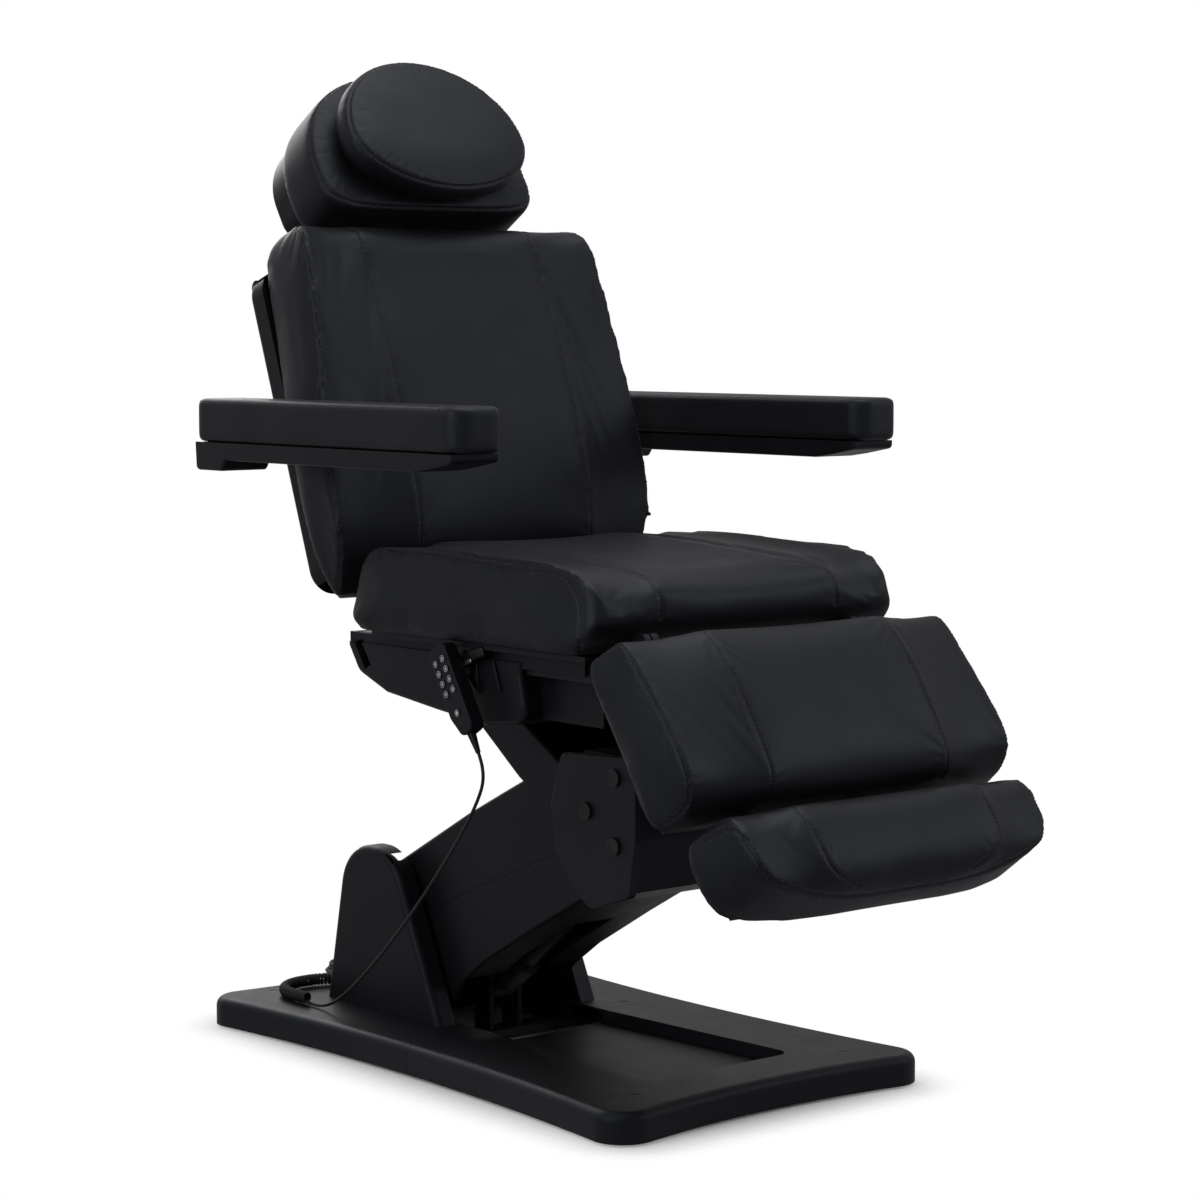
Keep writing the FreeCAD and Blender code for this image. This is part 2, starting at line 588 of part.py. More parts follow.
def lower_arm():
    pivot = (dim("stand_pivot_y"), dim("stand_pivot_z"))
    bolt = (dim("lower_bolt_y"), dim("lower_bolt_z"))
    head = (dim("motor_head_y"), dim("motor_head_z"))
    pin = dim("motor_pin_radius")
    cheek = bar_plate("lower_cheek", (pivot, bolt), as_length(28), dim("lower_cheek_inner"),
                      dim("lower_cheek_outer"))
    hub = rod_x(*pivot, dim("shaft_radius") * 2, -dim("lower_cheek_outer"), dim("lower_cheek_outer"))
    brace = rod_x(130, 300, pin * 2, -dim("lower_cheek_outer"), dim("lower_cheek_outer"))
    beam = rod_x(head[0], head[1] + pin * 4.5, pin * 1.5, -dim("lower_cheek_outer"), dim("lower_cheek_outer"))
    lugs = both_sides(box, pin * 3, pin * 4, head[0] - pin * 2, head[0] + pin * 2, head[1] - pin * 2,
                      head[1] + pin * 4.5)
    head_pin = rod_x(*head, pin, -pin * 4, pin * 4)
    frame = fuse(cheek, mirrored(cheek), hub, brace, beam, *lugs, head_pin)
    shaft_bore = rod_x(*pivot, dim("shaft_radius") + dim("fit_gap"), -dim("stand_outer"), dim("stand_outer"))
    bolt_bore = rod_x(*bolt, dim("bolt_radius") + dim("fit_gap"), -dim("stand_outer"), dim("stand_outer"))
    keep("lower_arm_frame", cut(frame, shaft_bore, bolt_bore))
    gap = dim("seam_gap")
    seam = [(340, 195), (275, 223), (152, 277), (-22, 346), (-62, 362)]
    upper = [(446, 203), *[(y, as_length(z) + gap / 2) for y, z in seam],
             (-62, 424), (6, 450), (47, 453), (101, 427), (202, 377), (386, 277), (440, 262)]
    top_shell = arm_shell(upper, dim("lower_half"), (0, 1, 2, 3, 4, 5, 11), soft=(7, 8))
    shaft_hole = rod_x(*pivot, dim("shaft_radius") + gap, -dim("stand_outer"), dim("stand_outer"))
    keep("lower_arm_upper_shell", cut(top_shell, shaft_hole))
    lower = [*[(y, as_length(z) - gap / 2) for y, z in reversed(seam)],
             (340, 120), (302, 72), (242, 74), (216, 110), (152, 155), (29, 225), (-78, 283)]
    bottom_shell = arm_shell(lower, dim("lower_half"), (0, 1, 2, 3, 4, 5, 6, 7, 11), soft=(6, 7, 8))
    window = dim("housing_radius") * 1.6
    motor_window = box(-window, window, head[0] + 70, dim("motor_foot_y"), dim("base_top"),
                       dim("stand_pivot_z"))
    keep("lower_arm_lower_shell", cut(bottom_shell, motor_window))


def knuckle():
    """The level block where the arms meet: two plates, three through bolts and a front cover."""
    corners = [(-227, 514), (-247, 495), (-247, 393), (-234, 312), (-149, 283), (-114, 302), (-70, 356),
               (-57, 429), (-80, 506)]
    thick = dim("knuckle_outer") - dim("knuckle_inner")
    plate = prism("knuckle_plate", "YZ_Plane", corners, dim("knuckle_inner"), thick)
    round_edges(plate, 14, near(corners[:1] + corners[8:] + corners[3:6] + corners[1:2]))
    outer = at_level(0, dim("knuckle_outer").value)
    round_edges(plate, 2.5, outer)
    spots = [(dim(f"{name}_bolt_y"), dim(f"{name}_bolt_z")) for name in ("lower", "upper", "spacer")]
    bores = [rod_x(*spot, dim("bolt_radius") + dim("fit_gap"), 0, dim("stand_outer")) for spot in spots]
    left = cut(plate, *bores)
    keep("knuckle_plate_left", left)
    keep("knuckle_plate_right", mirrored(left))
    bolts = []
    for spot in spots:
        reach = dim("knuckle_outer") + dim("bolt_head")
        shank = rod_x(*spot, dim("bolt_radius"), -reach, reach)
        heads = both_sides(rod_x, *spot, dim("bolt_head_radius"), dim("knuckle_outer") + dim("fit_gap"),
                           reach)
        bolts.append(fuse(shank, *heads))
    keep("knuckle_bolts", group(*bolts))
    half = dim("knuckle_inner") - dim("seam_gap") / 2
    cover = [(-244, 396), (-232, 318), (-150, 290), (-150, 294), (-228, 321), (-240, 397), (-240, 492),
             (-224, 508), (-120, 508), (-120, 512), (-226, 512), (-244, 494)]
    keep("knuckle_front_cover", prism("knuckle_front_cover", "YZ_Plane", cover, -half, half * 2))


def upper_arm():
    bolt = (dim("upper_bolt_y"), dim("upper_bolt_z"))
    pivot = (dim("seat_pivot_y"), dim("seat_pivot_z"))
    end = dim("trunnion_radius") * 1.8
    corners = [(bolt[0], bolt[1] - end), (-62, 404), (-22, 428), (47, 468), (140, 538),
               (pivot[0] + 12, pivot[1] - 18),
               (pivot[0] - 14, pivot[1] + 16), (128, 583), (52, 533), (-27, 486), (-62, 464),
               (bolt[0], bolt[1] + end)]
    bar = prism("upper_cheek", "YZ_Plane", corners, dim("upper_cheek_inner"),
                dim("upper_cheek_outer") - dim("upper_cheek_inner"))
    eyes = [rod_x(*spot, end, dim("upper_cheek_inner"), dim("upper_cheek_outer")) for spot in (bolt, pivot)]
    cheek = fuse(bar, *eyes)
    trunnion = rod_x(*pivot, dim("trunnion_radius"), -dim("knuckle_inner"), dim("knuckle_inner"))
    tie = rod_x(100, 548, 10, -dim("upper_cheek_outer"), dim("upper_cheek_outer"))
    bores = [rod_x(*bolt, dim("bolt_radius") + dim("open_pivot_gap"), -dim("stand_outer"),
                   dim("stand_outer"))]
    keep("upper_arm_frame", cut(fuse(cheek, mirrored(cheek), trunnion, tie), *bores))
    shell = [(-62, 390), (-22, 414), (47, 455), (135, 520), (152, 532), (140, 600), (52, 548), (-27, 500),
             (-62, 478)]
    keep("upper_arm_shell", arm_shell(shell, dim("upper_half"), (0, 1, 2, 3, 4, 8)))


lower_arm()
knuckle()
upper_arm()


# Motors
def span_along(start, reach, way):
    """The low and the high end of a run along Y, to the rear when way is 1."""
    return (start, start + reach) if way > 0 else (start - reach, start)


def motor(name, start, way):
    """A linear motor along Y under the seat pan: tube, gear housing and hanger."""
    across = dim("motor_across") * way
    height = dim("motor_height")
    tube = rod_y(across, height, dim("tube_radius"), *span_along(start, dim("motor_long"), way))
    housing = rod_y(across, height, dim("housing_radius"), *span_along(start, dim("housing_long"), -way))
    bore = rod_y(across, height, dim("rod_radius") + dim("rod_gap"),
                 *span_along(start - dim("housing_long") * 0.6 * way, dim("motor_long") * 1.5, way))
    hanger = box(across - dim("hanger_half"), across + dim("hanger_half"),
                 *span_along(start - dim("housing_long") * 0.7 * way, dim("hanger_half") * 2, -way),
                 height, dim("seat_bottom") - dim("pan_thick"))
    keep(name, cut(fuse(tube, housing, hanger), bore))


def push_rod(name, hinge, swing, way, start):
    """The sliding rod of a motor under the seat, with the cross pin that works a fork."""
    across = dim("motor_across") * way
    height = dim("motor_height")
    radius = dim("rod_radius")
    pin_y = dim(f"{hinge}_y") + dim("fork_drop") * math.tan(math.radians(dim(swing).value))
    inner_end = start + dim("motor_long") * way - dim("rod_inside") * way
    ends = (inner_end, pin_y + radius) if way > 0 else (pin_y - radius, inner_end)
    rod = rod_y(across, height, radius, *ends)
    side_ends = (dim("motor_across"), dim("fork_outer") + 2)
    pin_ends = side_ends if way > 0 else (-side_ends[1], -side_ends[0])
    keep(name, fuse(rod, rod_x(pin_y, height, dim("fork_pin_radius"), *pin_ends)))


def lift_motor():
    """The lift motor, lying from the base pin up to the pin in the lower arm."""
    run = (dim("motor_head_y").value - dim("motor_foot_y").value,
           dim("motor_head_z").value - dim("motor_foot_z").value)
    span = math.hypot(*run)
    tilt = math.degrees(math.atan2(-run[0], run[1]))
    pin = dim("motor_pin_radius")
    eye = rod_x(0, 0, pin * 2.4, -pin * 2.6, pin * 2.6)
    neck = rod_z(0, 0, pin * 1.8, pin * 1.5, pin * 5)
    housing = rod_z(0, 0, dim("housing_radius"), pin * 4.4, pin * 11)
    tube = rod_z(0, 0, dim("tube_radius"), pin * 11, span - 110)
    pin_bore = rod_x(0, 0, pin + dim("fit_gap"), -pin * 4, pin * 4)
    rod_bore = rod_z(0, 0, dim("rod_radius") + dim("rod_gap"), pin * 8, span)
    body = cut(fuse(eye, neck, housing, tube), pin_bore, rod_bore)
    place(body, 0, dim("motor_foot_y"), dim("motor_foot_z"), tilt)
    keep("lift_motor", body)
    rod = rod_z(0, 0, dim("rod_radius"), span - 210, span - pin.value * 1.5)
    head = rod_x(0, 0, pin * 2.4, -pin * 2.6, pin * 2.6)
    place(head, -pin * 2.6, 0, span)
    head.Placement.Rotation = FreeCAD.Rotation(Vector(0, 1, 0), 90)
    head_bore = rod_x(0, 0, pin * 1.75, -pin * 4, pin * 4)
    place(head_bore, -pin * 4, 0, span)
    head_bore.Placement.Rotation = FreeCAD.Rotation(Vector(0, 1, 0), 90)
    ram = cut(fuse(rod, head), head_bore)
    place(ram, 0, dim("motor_foot_y"), dim("motor_foot_z"), tilt)
    keep("lift_rod", ram)


# Seat
def fork(x_low, x_high, y, z, swing):
    """A slotted lever below a hinge; swing tips its end to the rear."""
    drop = dim("fork_drop")
    slot = dim("fork_slot_half")
    boss = dim("hinge_boss_radius")
    side = slot + dim("fork_arm")
    shape = [(-boss * 0.5, 0), (-side, -drop * 0.8), (-side, -drop * 1.4), (-slot, -drop * 1.4),
             (-slot, -drop * 0.84), (slot, -drop * 0.84), (slot, -drop * 1.4), (side, -drop * 1.4),
             (side, -drop * 0.8), (boss * 0.5, 0)]
    lever = prism("fork", "YZ_Plane", shape, x_low, x_high - x_low)
    place(lever, 0, y, z, swing)
    return lever


def seat_frame():
    """Seat pan on two rails, with lugs for the lift, the backrest and the legrest."""
    top = dim("seat_bottom")
    under = top - dim("pan_thick")
    pan = box(-268, 268, dim("seat_front") + 50, dim("seat_rear") - 26, under, top)
    rails = both_sides(box, dim("rail_inner"), dim("rail_outer"), dim("seat_front") + 40, dim("back_hinge_y"),
                       dim("rail_low"), under)
    bars = [box(-dim("rail_outer"), dim("rail_outer"), along, along + 22, dim("rail_low") + 17, under)
            for along in (dim("seat_front") + 60, dim("seat_rear") - 62)]
    lift_lugs = both_sides(box, dim("upper_cheek_outer") + 1.5, dim("upper_cheek_outer") + 9.5,
                           dim("seat_pivot_y") - 24, dim("seat_pivot_y") + 24, dim("seat_pivot_z") - 24,
                           under)
    parts = [pan, *rails, *bars, *lift_lugs]
    boss = dim("hinge_boss_radius") * 0.8
    inner = dim("lug_inner")
    outer = dim("lug_outer")
    y = dim("back_hinge_y")
    z = dim("back_hinge_z")
    parts += both_sides(box, inner, outer, y - boss, y + boss, dim("rail_low") + 4, z)
    parts += both_sides(box, inner, dim("rail_inner") + 2, y - boss * 5.4, y - boss, dim("rail_low") + 4,
                        under)
    front_y = dim("leg_hinge_y")
    front_z = dim("leg_hinge_z")
    lug = [(front_y + 60, front_z - 48), (front_y + 60, under), (front_y + 34, front_z - 20),
           (front_y + 8, front_z + 8),
           (front_y - 8, front_z - 8), (front_y + 20, front_z - 28)]
    front_lug = prism("front_lug", "YZ_Plane", lug, inner, outer - inner)
    parts += [front_lug, mirrored(front_lug)]
    parts += both_sides(box, inner, dim("rail_inner") + 2, front_y + 46, front_y + 70, front_z - 48, under)
    for hinge in ((y, z), (front_y, front_z)):
        parts += both_sides(rod_x, *hinge, boss, inner, outer)
        parts += both_sides(rod_x, *hinge, dim("hinge_pin_radius"), dim("fork_inner") - 2, outer)
    bore = rod_x(dim("seat_pivot_y"), dim("seat_pivot_z"), dim("trunnion_radius") + dim("fit_gap"),
                 -dim("stand_outer"), dim("stand_outer"))
    keep("seat_frame", cut(fuse(*parts), bore))


def seat_skirt():
    """Moulded cover under the seat, open at the top, the front and for the arm below."""
    half = dim("skirt_half")
    top = dim("skirt_top")
    rear = dim("skirt_rear")
    front = dim("skirt_front")
    corners = [(rear, top), (rear, 638), (rear - 26, 600), (219, 574), (93, 559), (-28, 547), (front, 559),
               (front + 16, 630), (front + 16, top)]
    outer = half + dim("skirt_bulge")
    body = prism("seat_skirt", "YZ_Plane", corners, -outer, outer * 2)
    round_edges(body, dim("skirt_round"), near([corners[2], corners[6]]))
    wall = dim("cover_wall")
    under = [at_level(0, -outer.value), at_level(0, outer.value)]
    roof = at_level(2, top.value)
    round_edges(body, wall * 2, lambda edge: any(test(edge) for test in under) and not roof(edge))
    cut_prism(body, "YZ_Plane", inset(corners, wall * 1.6, open_sides=(6, 7, 8)), -half + wall,
              (half - wall) * 2)
    well = dim("knuckle_outer") + wall * 2
    well_rear = rear - dim("skirt_bridge")
    opening = [(-well, front - wall), (well, front - wall), (well, well_rear), (-well, well_rear)]
    cut_prism(body, "XY_Plane", opening, 540, 100)
    slot_inner = dim("motor_across") - dim("rod_radius") * 1.5
    slot_outer = dim("lug_outer") + 2
    slot = [(slot_inner, rear - wall * 12), (slot_outer, rear - wall * 12), (slot_outer, rear + wall),
            (slot_inner, rear + wall)]
    cut_prism(body, "XY_Plane", slot, dim("skirt_slot_low"), 100)
    other = [(-slot_outer, rear - wall * 12), (-slot_inner, rear - wall * 12), (-slot_inner, rear + wall),
             (-slot_outer, rear + wall)]
    cut_prism(body, "XY_Plane", other, dim("rail_low"), 100)
    hand_slot = [(298, 646), (281, 650), (255, 613), (270, 605)]
    cut_prism(body, "YZ_Plane", hand_slot, -outer - wall, (outer + wall) * 2)
    nose = dim("nose_half")
    nose_front = dim("nose_front")
    inner_front = front + 17
    low = dim("skirt_nose_low")
    cheeks = both_sides(box, nose, nose + wall, nose_front, inner_front + wall, low, dim("rail_low") + 14)
    returns = both_sides(box, nose, half - wall / 2, inner_front, inner_front + wall, low,
                         dim("rail_low") - 2)
    bands = both_sides(box, half - wall * 0.8, half, nose_front, inner_front + wall, dim("rail_low") + 9, top)
    ledges = both_sides(box, half, outer + wall, front - wall, rear + wall, dim("skirt_ledge"), top + wall)
    keep("seat_skirt", cut(fuse(body, *cheeks, *returns, *bands), *ledges))


# Upholstery
def arc_between(first, last, bulge):
    """An arc that bows by bulge to the right of the way from first to last."""
    run = last - first
    out = Vector(run.y, -run.x, 0).normalize()
    return Part.Arc(first, (first + last) * 0.5 + out * bulge, last).toShape()


def pad_section(along, half, rear, seam, centre, crown, panels, flare):
    """Cross-section of a cushion: flat behind, bowed sides, and a crowned front in one or three panels."""
    inner = min(dim("seam_across").value, half * 0.58)
    heel = min(12.0, (seam - rear) * 0.3)
    draw = min(14.0, half * 0.12) - flare
    left = [Vector(-half + heel, -rear, 0), Vector(-half, -rear - heel, 0), Vector(-half + draw, -seam, 0)]
    right = [Vector(-point.x, point.y, 0) for point in left]
    edges = [Part.LineSegment(right[0], left[0]).toShape(), arc_between(left[0], left[1], -heel * 0.2),
             arc_between(left[1], left[2], -2.5)]
    if panels == 3:
        valley = [Vector(-inner, -centre, 0), Vector(inner, -centre, 0)]
        edges += [arc_between(left[2], valley[0], -crown), arc_between(valley[0], valley[1], -crown * 0.7),
                  arc_between(valley[1], right[2], -crown)]
    else:
        edges.append(arc_between(left[2], right[2], -crown))
    edges += [arc_between(right[2], right[1], -2.5), arc_between(right[1], right[0], -heel * 0.2)]
    wire = Part.Wire(edges)
    wire.translate(Vector(0, 0, along))
    return wire


def cushion(node, stations, crown, panels=3, ruled=False, flare=0):
    """A cushion lofted through cross-sections (along, half width, rear, side seam, centre seam)."""
    wires = [pad_section(*station, crown, panels, flare) for station in stations]
    solid = Part.makeLoft(wires, True, ruled)
    feature = doc.addObject("Part::Feature", node)
    feature.Shape = solid
    return keep(node, feature)


def seat_cushion():
    half = dim("seat_half").value
    front = dim("seat_front").value
    rear = dim("seat_rear").value
    side = dim("seat_side_high").value
    centre = dim("seat_centre_high").value
    stations = [(front, half - 18, 44, side - 66, centre - 38),
                (front + 12, half - 7, 26, side - 40, centre - 20),
                (front + 36, half - 2, 6, side - 22, centre - 8),
                (front + 70, half, 0, side - 12, centre - 4),
                (-120, half - 3, 0, side - 3, centre + 5),
                (40, half - 3, 0, side, centre + 14),
                (170, half - 2, 0, side - 4, centre + 16),
                (rear - 34, half, 0, side - 20, centre + 2),
                (rear - 12, half - 4, 4, side - 50, centre - 28),
                (rear, half - 12, 18, side - 84, centre - 62)]
    place(cushion("seat_cushion", stations, 11), 0, 0, dim("seat_bottom") + dim("pad_gap"), -90)


def backrest_cushion():
    """The backrest's cushion, which narrows towards the top."""
    wide = dim("back_half_low").value
    slim = dim("back_half_high").value
    low = dim("back_low").value
    high = dim("back_high").value
    rear = dim("back_rear_face").value
    seam = dim("back_seam_face").value
    centre = dim("back_centre_face").value

    def half(along):
        return wide + (slim - wide) * (along - low) / (high - low)

    stations = [(low, half(low) - 52, rear + 2, 10, 24),
                (low + 16, half(low + 16) - 40, rear, 30, 56),
                (low + 42, half(low + 42) - 28, rear, 58, 86),
                (low + 85, half(low + 85) - 16, rear, seam - 14, centre - 4),
                (low + 180, half(low + 180) - 5, rear, seam + 6, centre + 9),
                (low + 300, half(low + 300) - 2, rear, seam + 18, centre + 11),
                (low + 430, half(low + 430) - 2, rear, seam + 26, centre + 7),
                (high - 60, half(high - 60) - 1, rear, seam + 28, centre + 3),
                (high - 22, half(high - 22) - 4, rear + 8, seam + 20, centre),
                (high - 6, half(high) - 10, rear + 26, seam, centre - 16),
                (high, half(high) - 18, rear + 44, seam - 24, centre - 38)]
    place(cushion("backrest_cushion", stations, 9, flare=dim("back_flare").value), 0, dim("back_hinge_y"),
          dim("back_hinge_z"), -dim("back_tilt"))


def legrest_cushion():
    half = dim("leg_half").value
    low = dim("leg_low").value
    high = dim("leg_high").value
    rear = dim("leg_rear_face").value
    seam = dim("leg_seam_face").value
    centre = dim("leg_centre_face").value
    stations = [(low, half - 16, rear + 16, seam - 52, centre - 34),
                (low + 8, half - 7, rear + 4, seam - 26, centre - 12),
                (low + 26, half - 2, rear, seam - 4, centre + 2),
                (low + 60, half - 1, rear, seam + 6, centre + 7),
                (low + 136, half - 3, rear, seam + 1, centre + 9),
                (high - 44, half - 2, rear, seam - 10, centre + 3),
                (high - 12, half - 3, rear + 4, seam - 18, centre - 8),
                (high, half - 9, rear + 26, seam - 40, centre - 34)]
    place(cushion("legrest_cushion", stations, 8), 0, dim("leg_hinge_y"), dim("leg_hinge_z"),
          -dim("leg_tilt"))


def footrest_cushion():
    half = dim("foot_half").value
    low = dim("foot_low").value
    high = dim("foot_high").value
    rear = dim("foot_rear_face").value
    seam = dim("foot_seam_face").value
    centre = dim("foot_centre_face").value
    stations = [(low, half - 190, rear + 34, seam - 40, centre - 38),
                (low + 7, half - 118, rear + 20, seam - 20, centre - 18),
                (low + 18, half - 64, rear + 8, seam - 6, centre - 4),
                (low + 34, half - 28, rear, seam + 2, centre + 3),
                (low + 60, half - 13, rear, seam + 6, centre + 6),
                (high - 38, half - 9, rear, seam + 3, centre + 2),
                (high - 12, half - 11, rear + 8, seam - 10, centre - 9),
                (high, half - 20, rear + 26, seam - 36, centre - 38)]
    place(cushion("footrest_cushion", stations, 8, ruled=True), 0, dim("leg_hinge_y"), dim("leg_hinge_z"),
          -dim("leg_tilt"))


def dome_outline(half, low, high, corner, depth):
    """A half-moon outline at one depth: flat foot, round corners and an arched top."""
    shoulder = low + (high - low) * 0.3
    right = [Vector(half - corner, 0, low), Vector(half, 0, low + corner), Vector(half, 0, shoulder)]
    left = [Vector(-point.x, 0, point.z) for point in right]
    elbow = Vector(half - corner * 0.293, 0, low + corner * 0.293)
    arch = Part.Ellipse(right[2], Vector(0, 0, high), Vector(0, 0, shoulder))
    edges = [Part.LineSegment(left[0], right[0]).toShape(), Part.Arc(right[0], elbow, right[1]).toShape(),
             Part.LineSegment(right[1], right[2]).toShape(), Part.ArcOfEllipse(arch, 0, math.pi).toShape(),
             Part.LineSegment(left[2], left[1]).toShape(),
             Part.Arc(left[1], Vector(-elbow.x, 0, elbow.z), left[0]).toShape()]
    wire = Part.Wire(edges)
    wire.translate(Vector(0, -depth, 0))
    return wire


def egg_outline(half, low, high, depth):
    """An egg-shaped outline at one depth, widest below its middle."""
    waist = low + (high - low) * 0.42
    edges = []
    for side, tip in ((half, high), (-half, low)):
        arch = Part.Ellipse(Vector(side, 0, waist), Vector(0, 0, tip), Vector(0, 0, waist))
        edges.append(Part.ArcOfEllipse(arch, 0, math.pi).toShape())
    wire = Part.Wire(edges)
    wire.translate(Vector(0, -depth, 0))
    return wire


EDGE_STEPS = 4


def puffed(rear, heel, rim, face, crown):
    """Layers (depth, drawn in by) of a padded cushion with round edges and a crowned face."""
    turns = [math.pi / 2 * step / EDGE_STEPS for step in range(EDGE_STEPS + 1)]
    layers = [(rear + heel * (1 - math.cos(turn)), heel * (1 - math.sin(turn))) for turn in turns]
    layers += [(face - rim * (1 - math.sin(turn)), rim * (1 - math.cos(turn))) for turn in turns]
    layers += [(face + crown * 0.6, rim + 32), (face + crown, rim + 80)]
    return layers


def dome(node, wires):
    """A head cushion lofted through outlines from its rear to its face."""
    feature = doc.addObject("Part::Feature", node)
    feature.Shape = Part.makeLoft(wires, True, True)
    place(feature, 0, dim("head_hinge_y"), dim("head_hinge_z"), -dim("head_tilt"))
    return keep(node, feature)


def headrest_cushion():
    half = dim("head_half").value
    low = dim("head_low").value
    high = dim("head_high").value
    corner = dim("head_corner").value
    layers = puffed(dim("head_rear_face").value, 12, 18, dim("head_seam_face").value + 5, 3)
    dome("headrest_cushion", [dome_outline(half - less, low + less, high - less, corner - less * 0.3, depth)
                              for depth, less in layers])


def head_pillow():
    half = dim("pillow_half").value
    low = dim("pillow_low").value
    high = dim("pillow_high").value
    rear = dim("head_seam_face").value + 10.4
    layers = puffed(rear, 26, 20, rear + dim("pillow_thick").value - 2, 4)
    dome("head_pillow", [egg_outline(half - less, low + less, high - less, depth) for depth, less in layers])


def armrest_pads():
    half = dim("arm_half").value
    front = dim("arm_front").value
    rear = dim("arm_rear").value
    high = dim("arm_pad_high").value - dim("arm_pad_low").value
    stations = [(front, half - 31, 12, high - 22, 0), (front + 7, half - 17, 6, high - 12, 0),
                (front + 24, half - 5, 2, high - 6, 0), (front + 52, half, 0, high - 4, 0),
                (120, half - 1, 0, high - 4, 0), (rear - 30, half, 0, high - 4, 0),
                (rear - 8, half - 2, 3, high - 8, 0), (rear, half - 8, 8, high - 16, 0)]
    for node, side in (("armrest_pad_left", 1), ("armrest_pad_right", -1)):
        pad = cushion(node, stations, 4, panels=1)
        place(pad, dim("arm_across") * side, 0, dim("arm_pad_low"), -90)


# Backrest and headrest
def lean_back(thing):
    """Put a part drawn along the backrest in its place."""
    place(thing, 0, dim("back_hinge_y"), dim("back_hinge_z"), -dim("back_tilt"))
    return thing


def lean_head(thing):
    """Put a part drawn along the headrest in its place."""
    place(thing, 0, dim("head_hinge_y"), dim("head_hinge_z"), -dim("head_tilt"))
    return thing


def lean_leg(thing):
    """Put a part drawn along the legrest in its place."""
    place(thing, 0, dim("leg_hinge_y"), dim("leg_hinge_z"), -dim("leg_tilt"))
    return thing


def seen_from(hinge, tilt, y, z):
    """Where a world spot (y, z) lies in the drawing of a leaning part."""
    angle = math.radians(dim(tilt).value)
    across = dim(y).value - dim(f"{hinge}_y").value
    up = dim(z).value - dim(f"{hinge}_z").value
    return (across * math.cos(angle) - up * math.sin(angle), across * math.sin(angle) + up * math.cos(angle))


def backrest_frame():
    """Two rails on a board, hinge arms, the motor fork, the armrest axle and the headrest bracket."""
    inner = dim("fork_inner")
    outer = dim("fork_outer")
    boss = dim("hinge_boss_radius")
    front = -dim("back_rear_face")
    rail_rear = dim("back_rail_rear")
    top = dim("back_rail_top")
    pin = dim("hinge_pin_radius")
    board = box(-dim("back_board_half"), dim("back_board_half"), front + dim("pad_gap"),
                front + dim("pad_gap") + 4, 60, top)
    rails = both_sides(box, inner, outer, front + dim("pad_gap"), rail_rear, 52, top)
    near_pad = front + dim("pad_gap") + 2
    bar = prism("hinge_arm", "YZ_Plane", [(-boss * 0.7, -boss * 0.7), (boss, -boss * 0.7), (rail_rear, 52),
                                          (rail_rear, 90), (near_pad, 90), (near_pad, 20),
                                          (-boss * 0.7, boss * 0.7)], inner, outer - inner)
    arm = fuse(bar, rod_x(0, 0, boss, inner, outer))
    lever = fork(inner, outer, 0, 0, dim("back_fork_swing") + dim("back_tilt"))
    axle_spot = seen_from("back_hinge", "back_tilt", "arm_pivot_y", "arm_pivot_z")
    axle = rod_x(*axle_spot, dim("arm_pin_radius"), -dim("arm_across"), dim("arm_across"))
    head_spot = seen_from("back_hinge", "back_tilt", "head_pin_y", "head_pin_z")
    bracket_low = top - 40
    cross_bar = box(-inner, inner, front + 4, rail_rear, bracket_low, top)
    plates = both_sides(box, dim("bracket_inner"), dim("bracket_outer"), head_spot[0] - 12, rail_rear,
                        bracket_low,
                        head_spot[1])
    bosses = both_sides(rod_x, *head_spot, pin * 2, dim("bracket_inner"), dim("bracket_outer"))
    head_pin = rod_x(*head_spot, pin, -dim("ear_outer") - 2, dim("ear_outer") + 2)
    frame = fuse(board, *rails, arm, mirrored(arm), lever, axle, cross_bar, *plates, *bosses, head_pin)
    bore = rod_x(0, 0, pin + dim("fit_gap"), -dim("lug_inner"), dim("lug_inner"))
    keep("backrest_frame", lean_back(cut(frame, bore)))


def backrest_shell():
    """Moulded cover behind the backrest, with a push handle across its top."""
    half = dim("shell_half")
    wall = dim("cover_wall")
    front = -dim("back_rear_face") + 1
    rear = front + dim("shell_depth")
    low = dim("shell_low")
    high = dim("shell_high")
    corners = [(-half, low), (half, low), (half, high), (-half, high)]
    body = prism("backrest_shell", "XZ_Plane", corners, -rear, dim("shell_depth"))
    round_edges(body, dim("shell_corner"), near(corners, (0, 2)))
    at_rear = at_level(1, rear.value)
    foot = at_level(2, low.value)
    round_edges(body, wall * 3, lambda edge: at_rear(edge) and not foot(edge))
    cut_prism(body, "XZ_Plane", inset(corners, wall * 2, open_sides=(0,)), -rear + wall, dim("shell_depth"))
    bar_y = dim("handle_depth")
    bar_z = dim("handle_high")
    grip = rod_x(bar_y, bar_z, dim("handle_radius"), -dim("handle_half"), dim("handle_half"))
    posts = both_sides(box, dim("handle_half") - 35, dim("handle_half") - 13, rear - wall / 2, bar_y,
                       high - 26, bar_z + 6)
    axle_spot = seen_from("back_hinge", "back_tilt", "arm_pivot_y", "arm_pivot_z")
    slots = both_sides(rod_x, *axle_spot, dim("arm_pin_radius") + dim("seam_gap"), half - wall * 4,
                       half + wall)
    slots.append(box(-dim("ear_outer"), dim("ear_outer"), 0, rear - wall, high - wall * 3, high + wall))
    keep("backrest_shell", lean_back(cut(fuse(body, grip, *posts), *slots)))


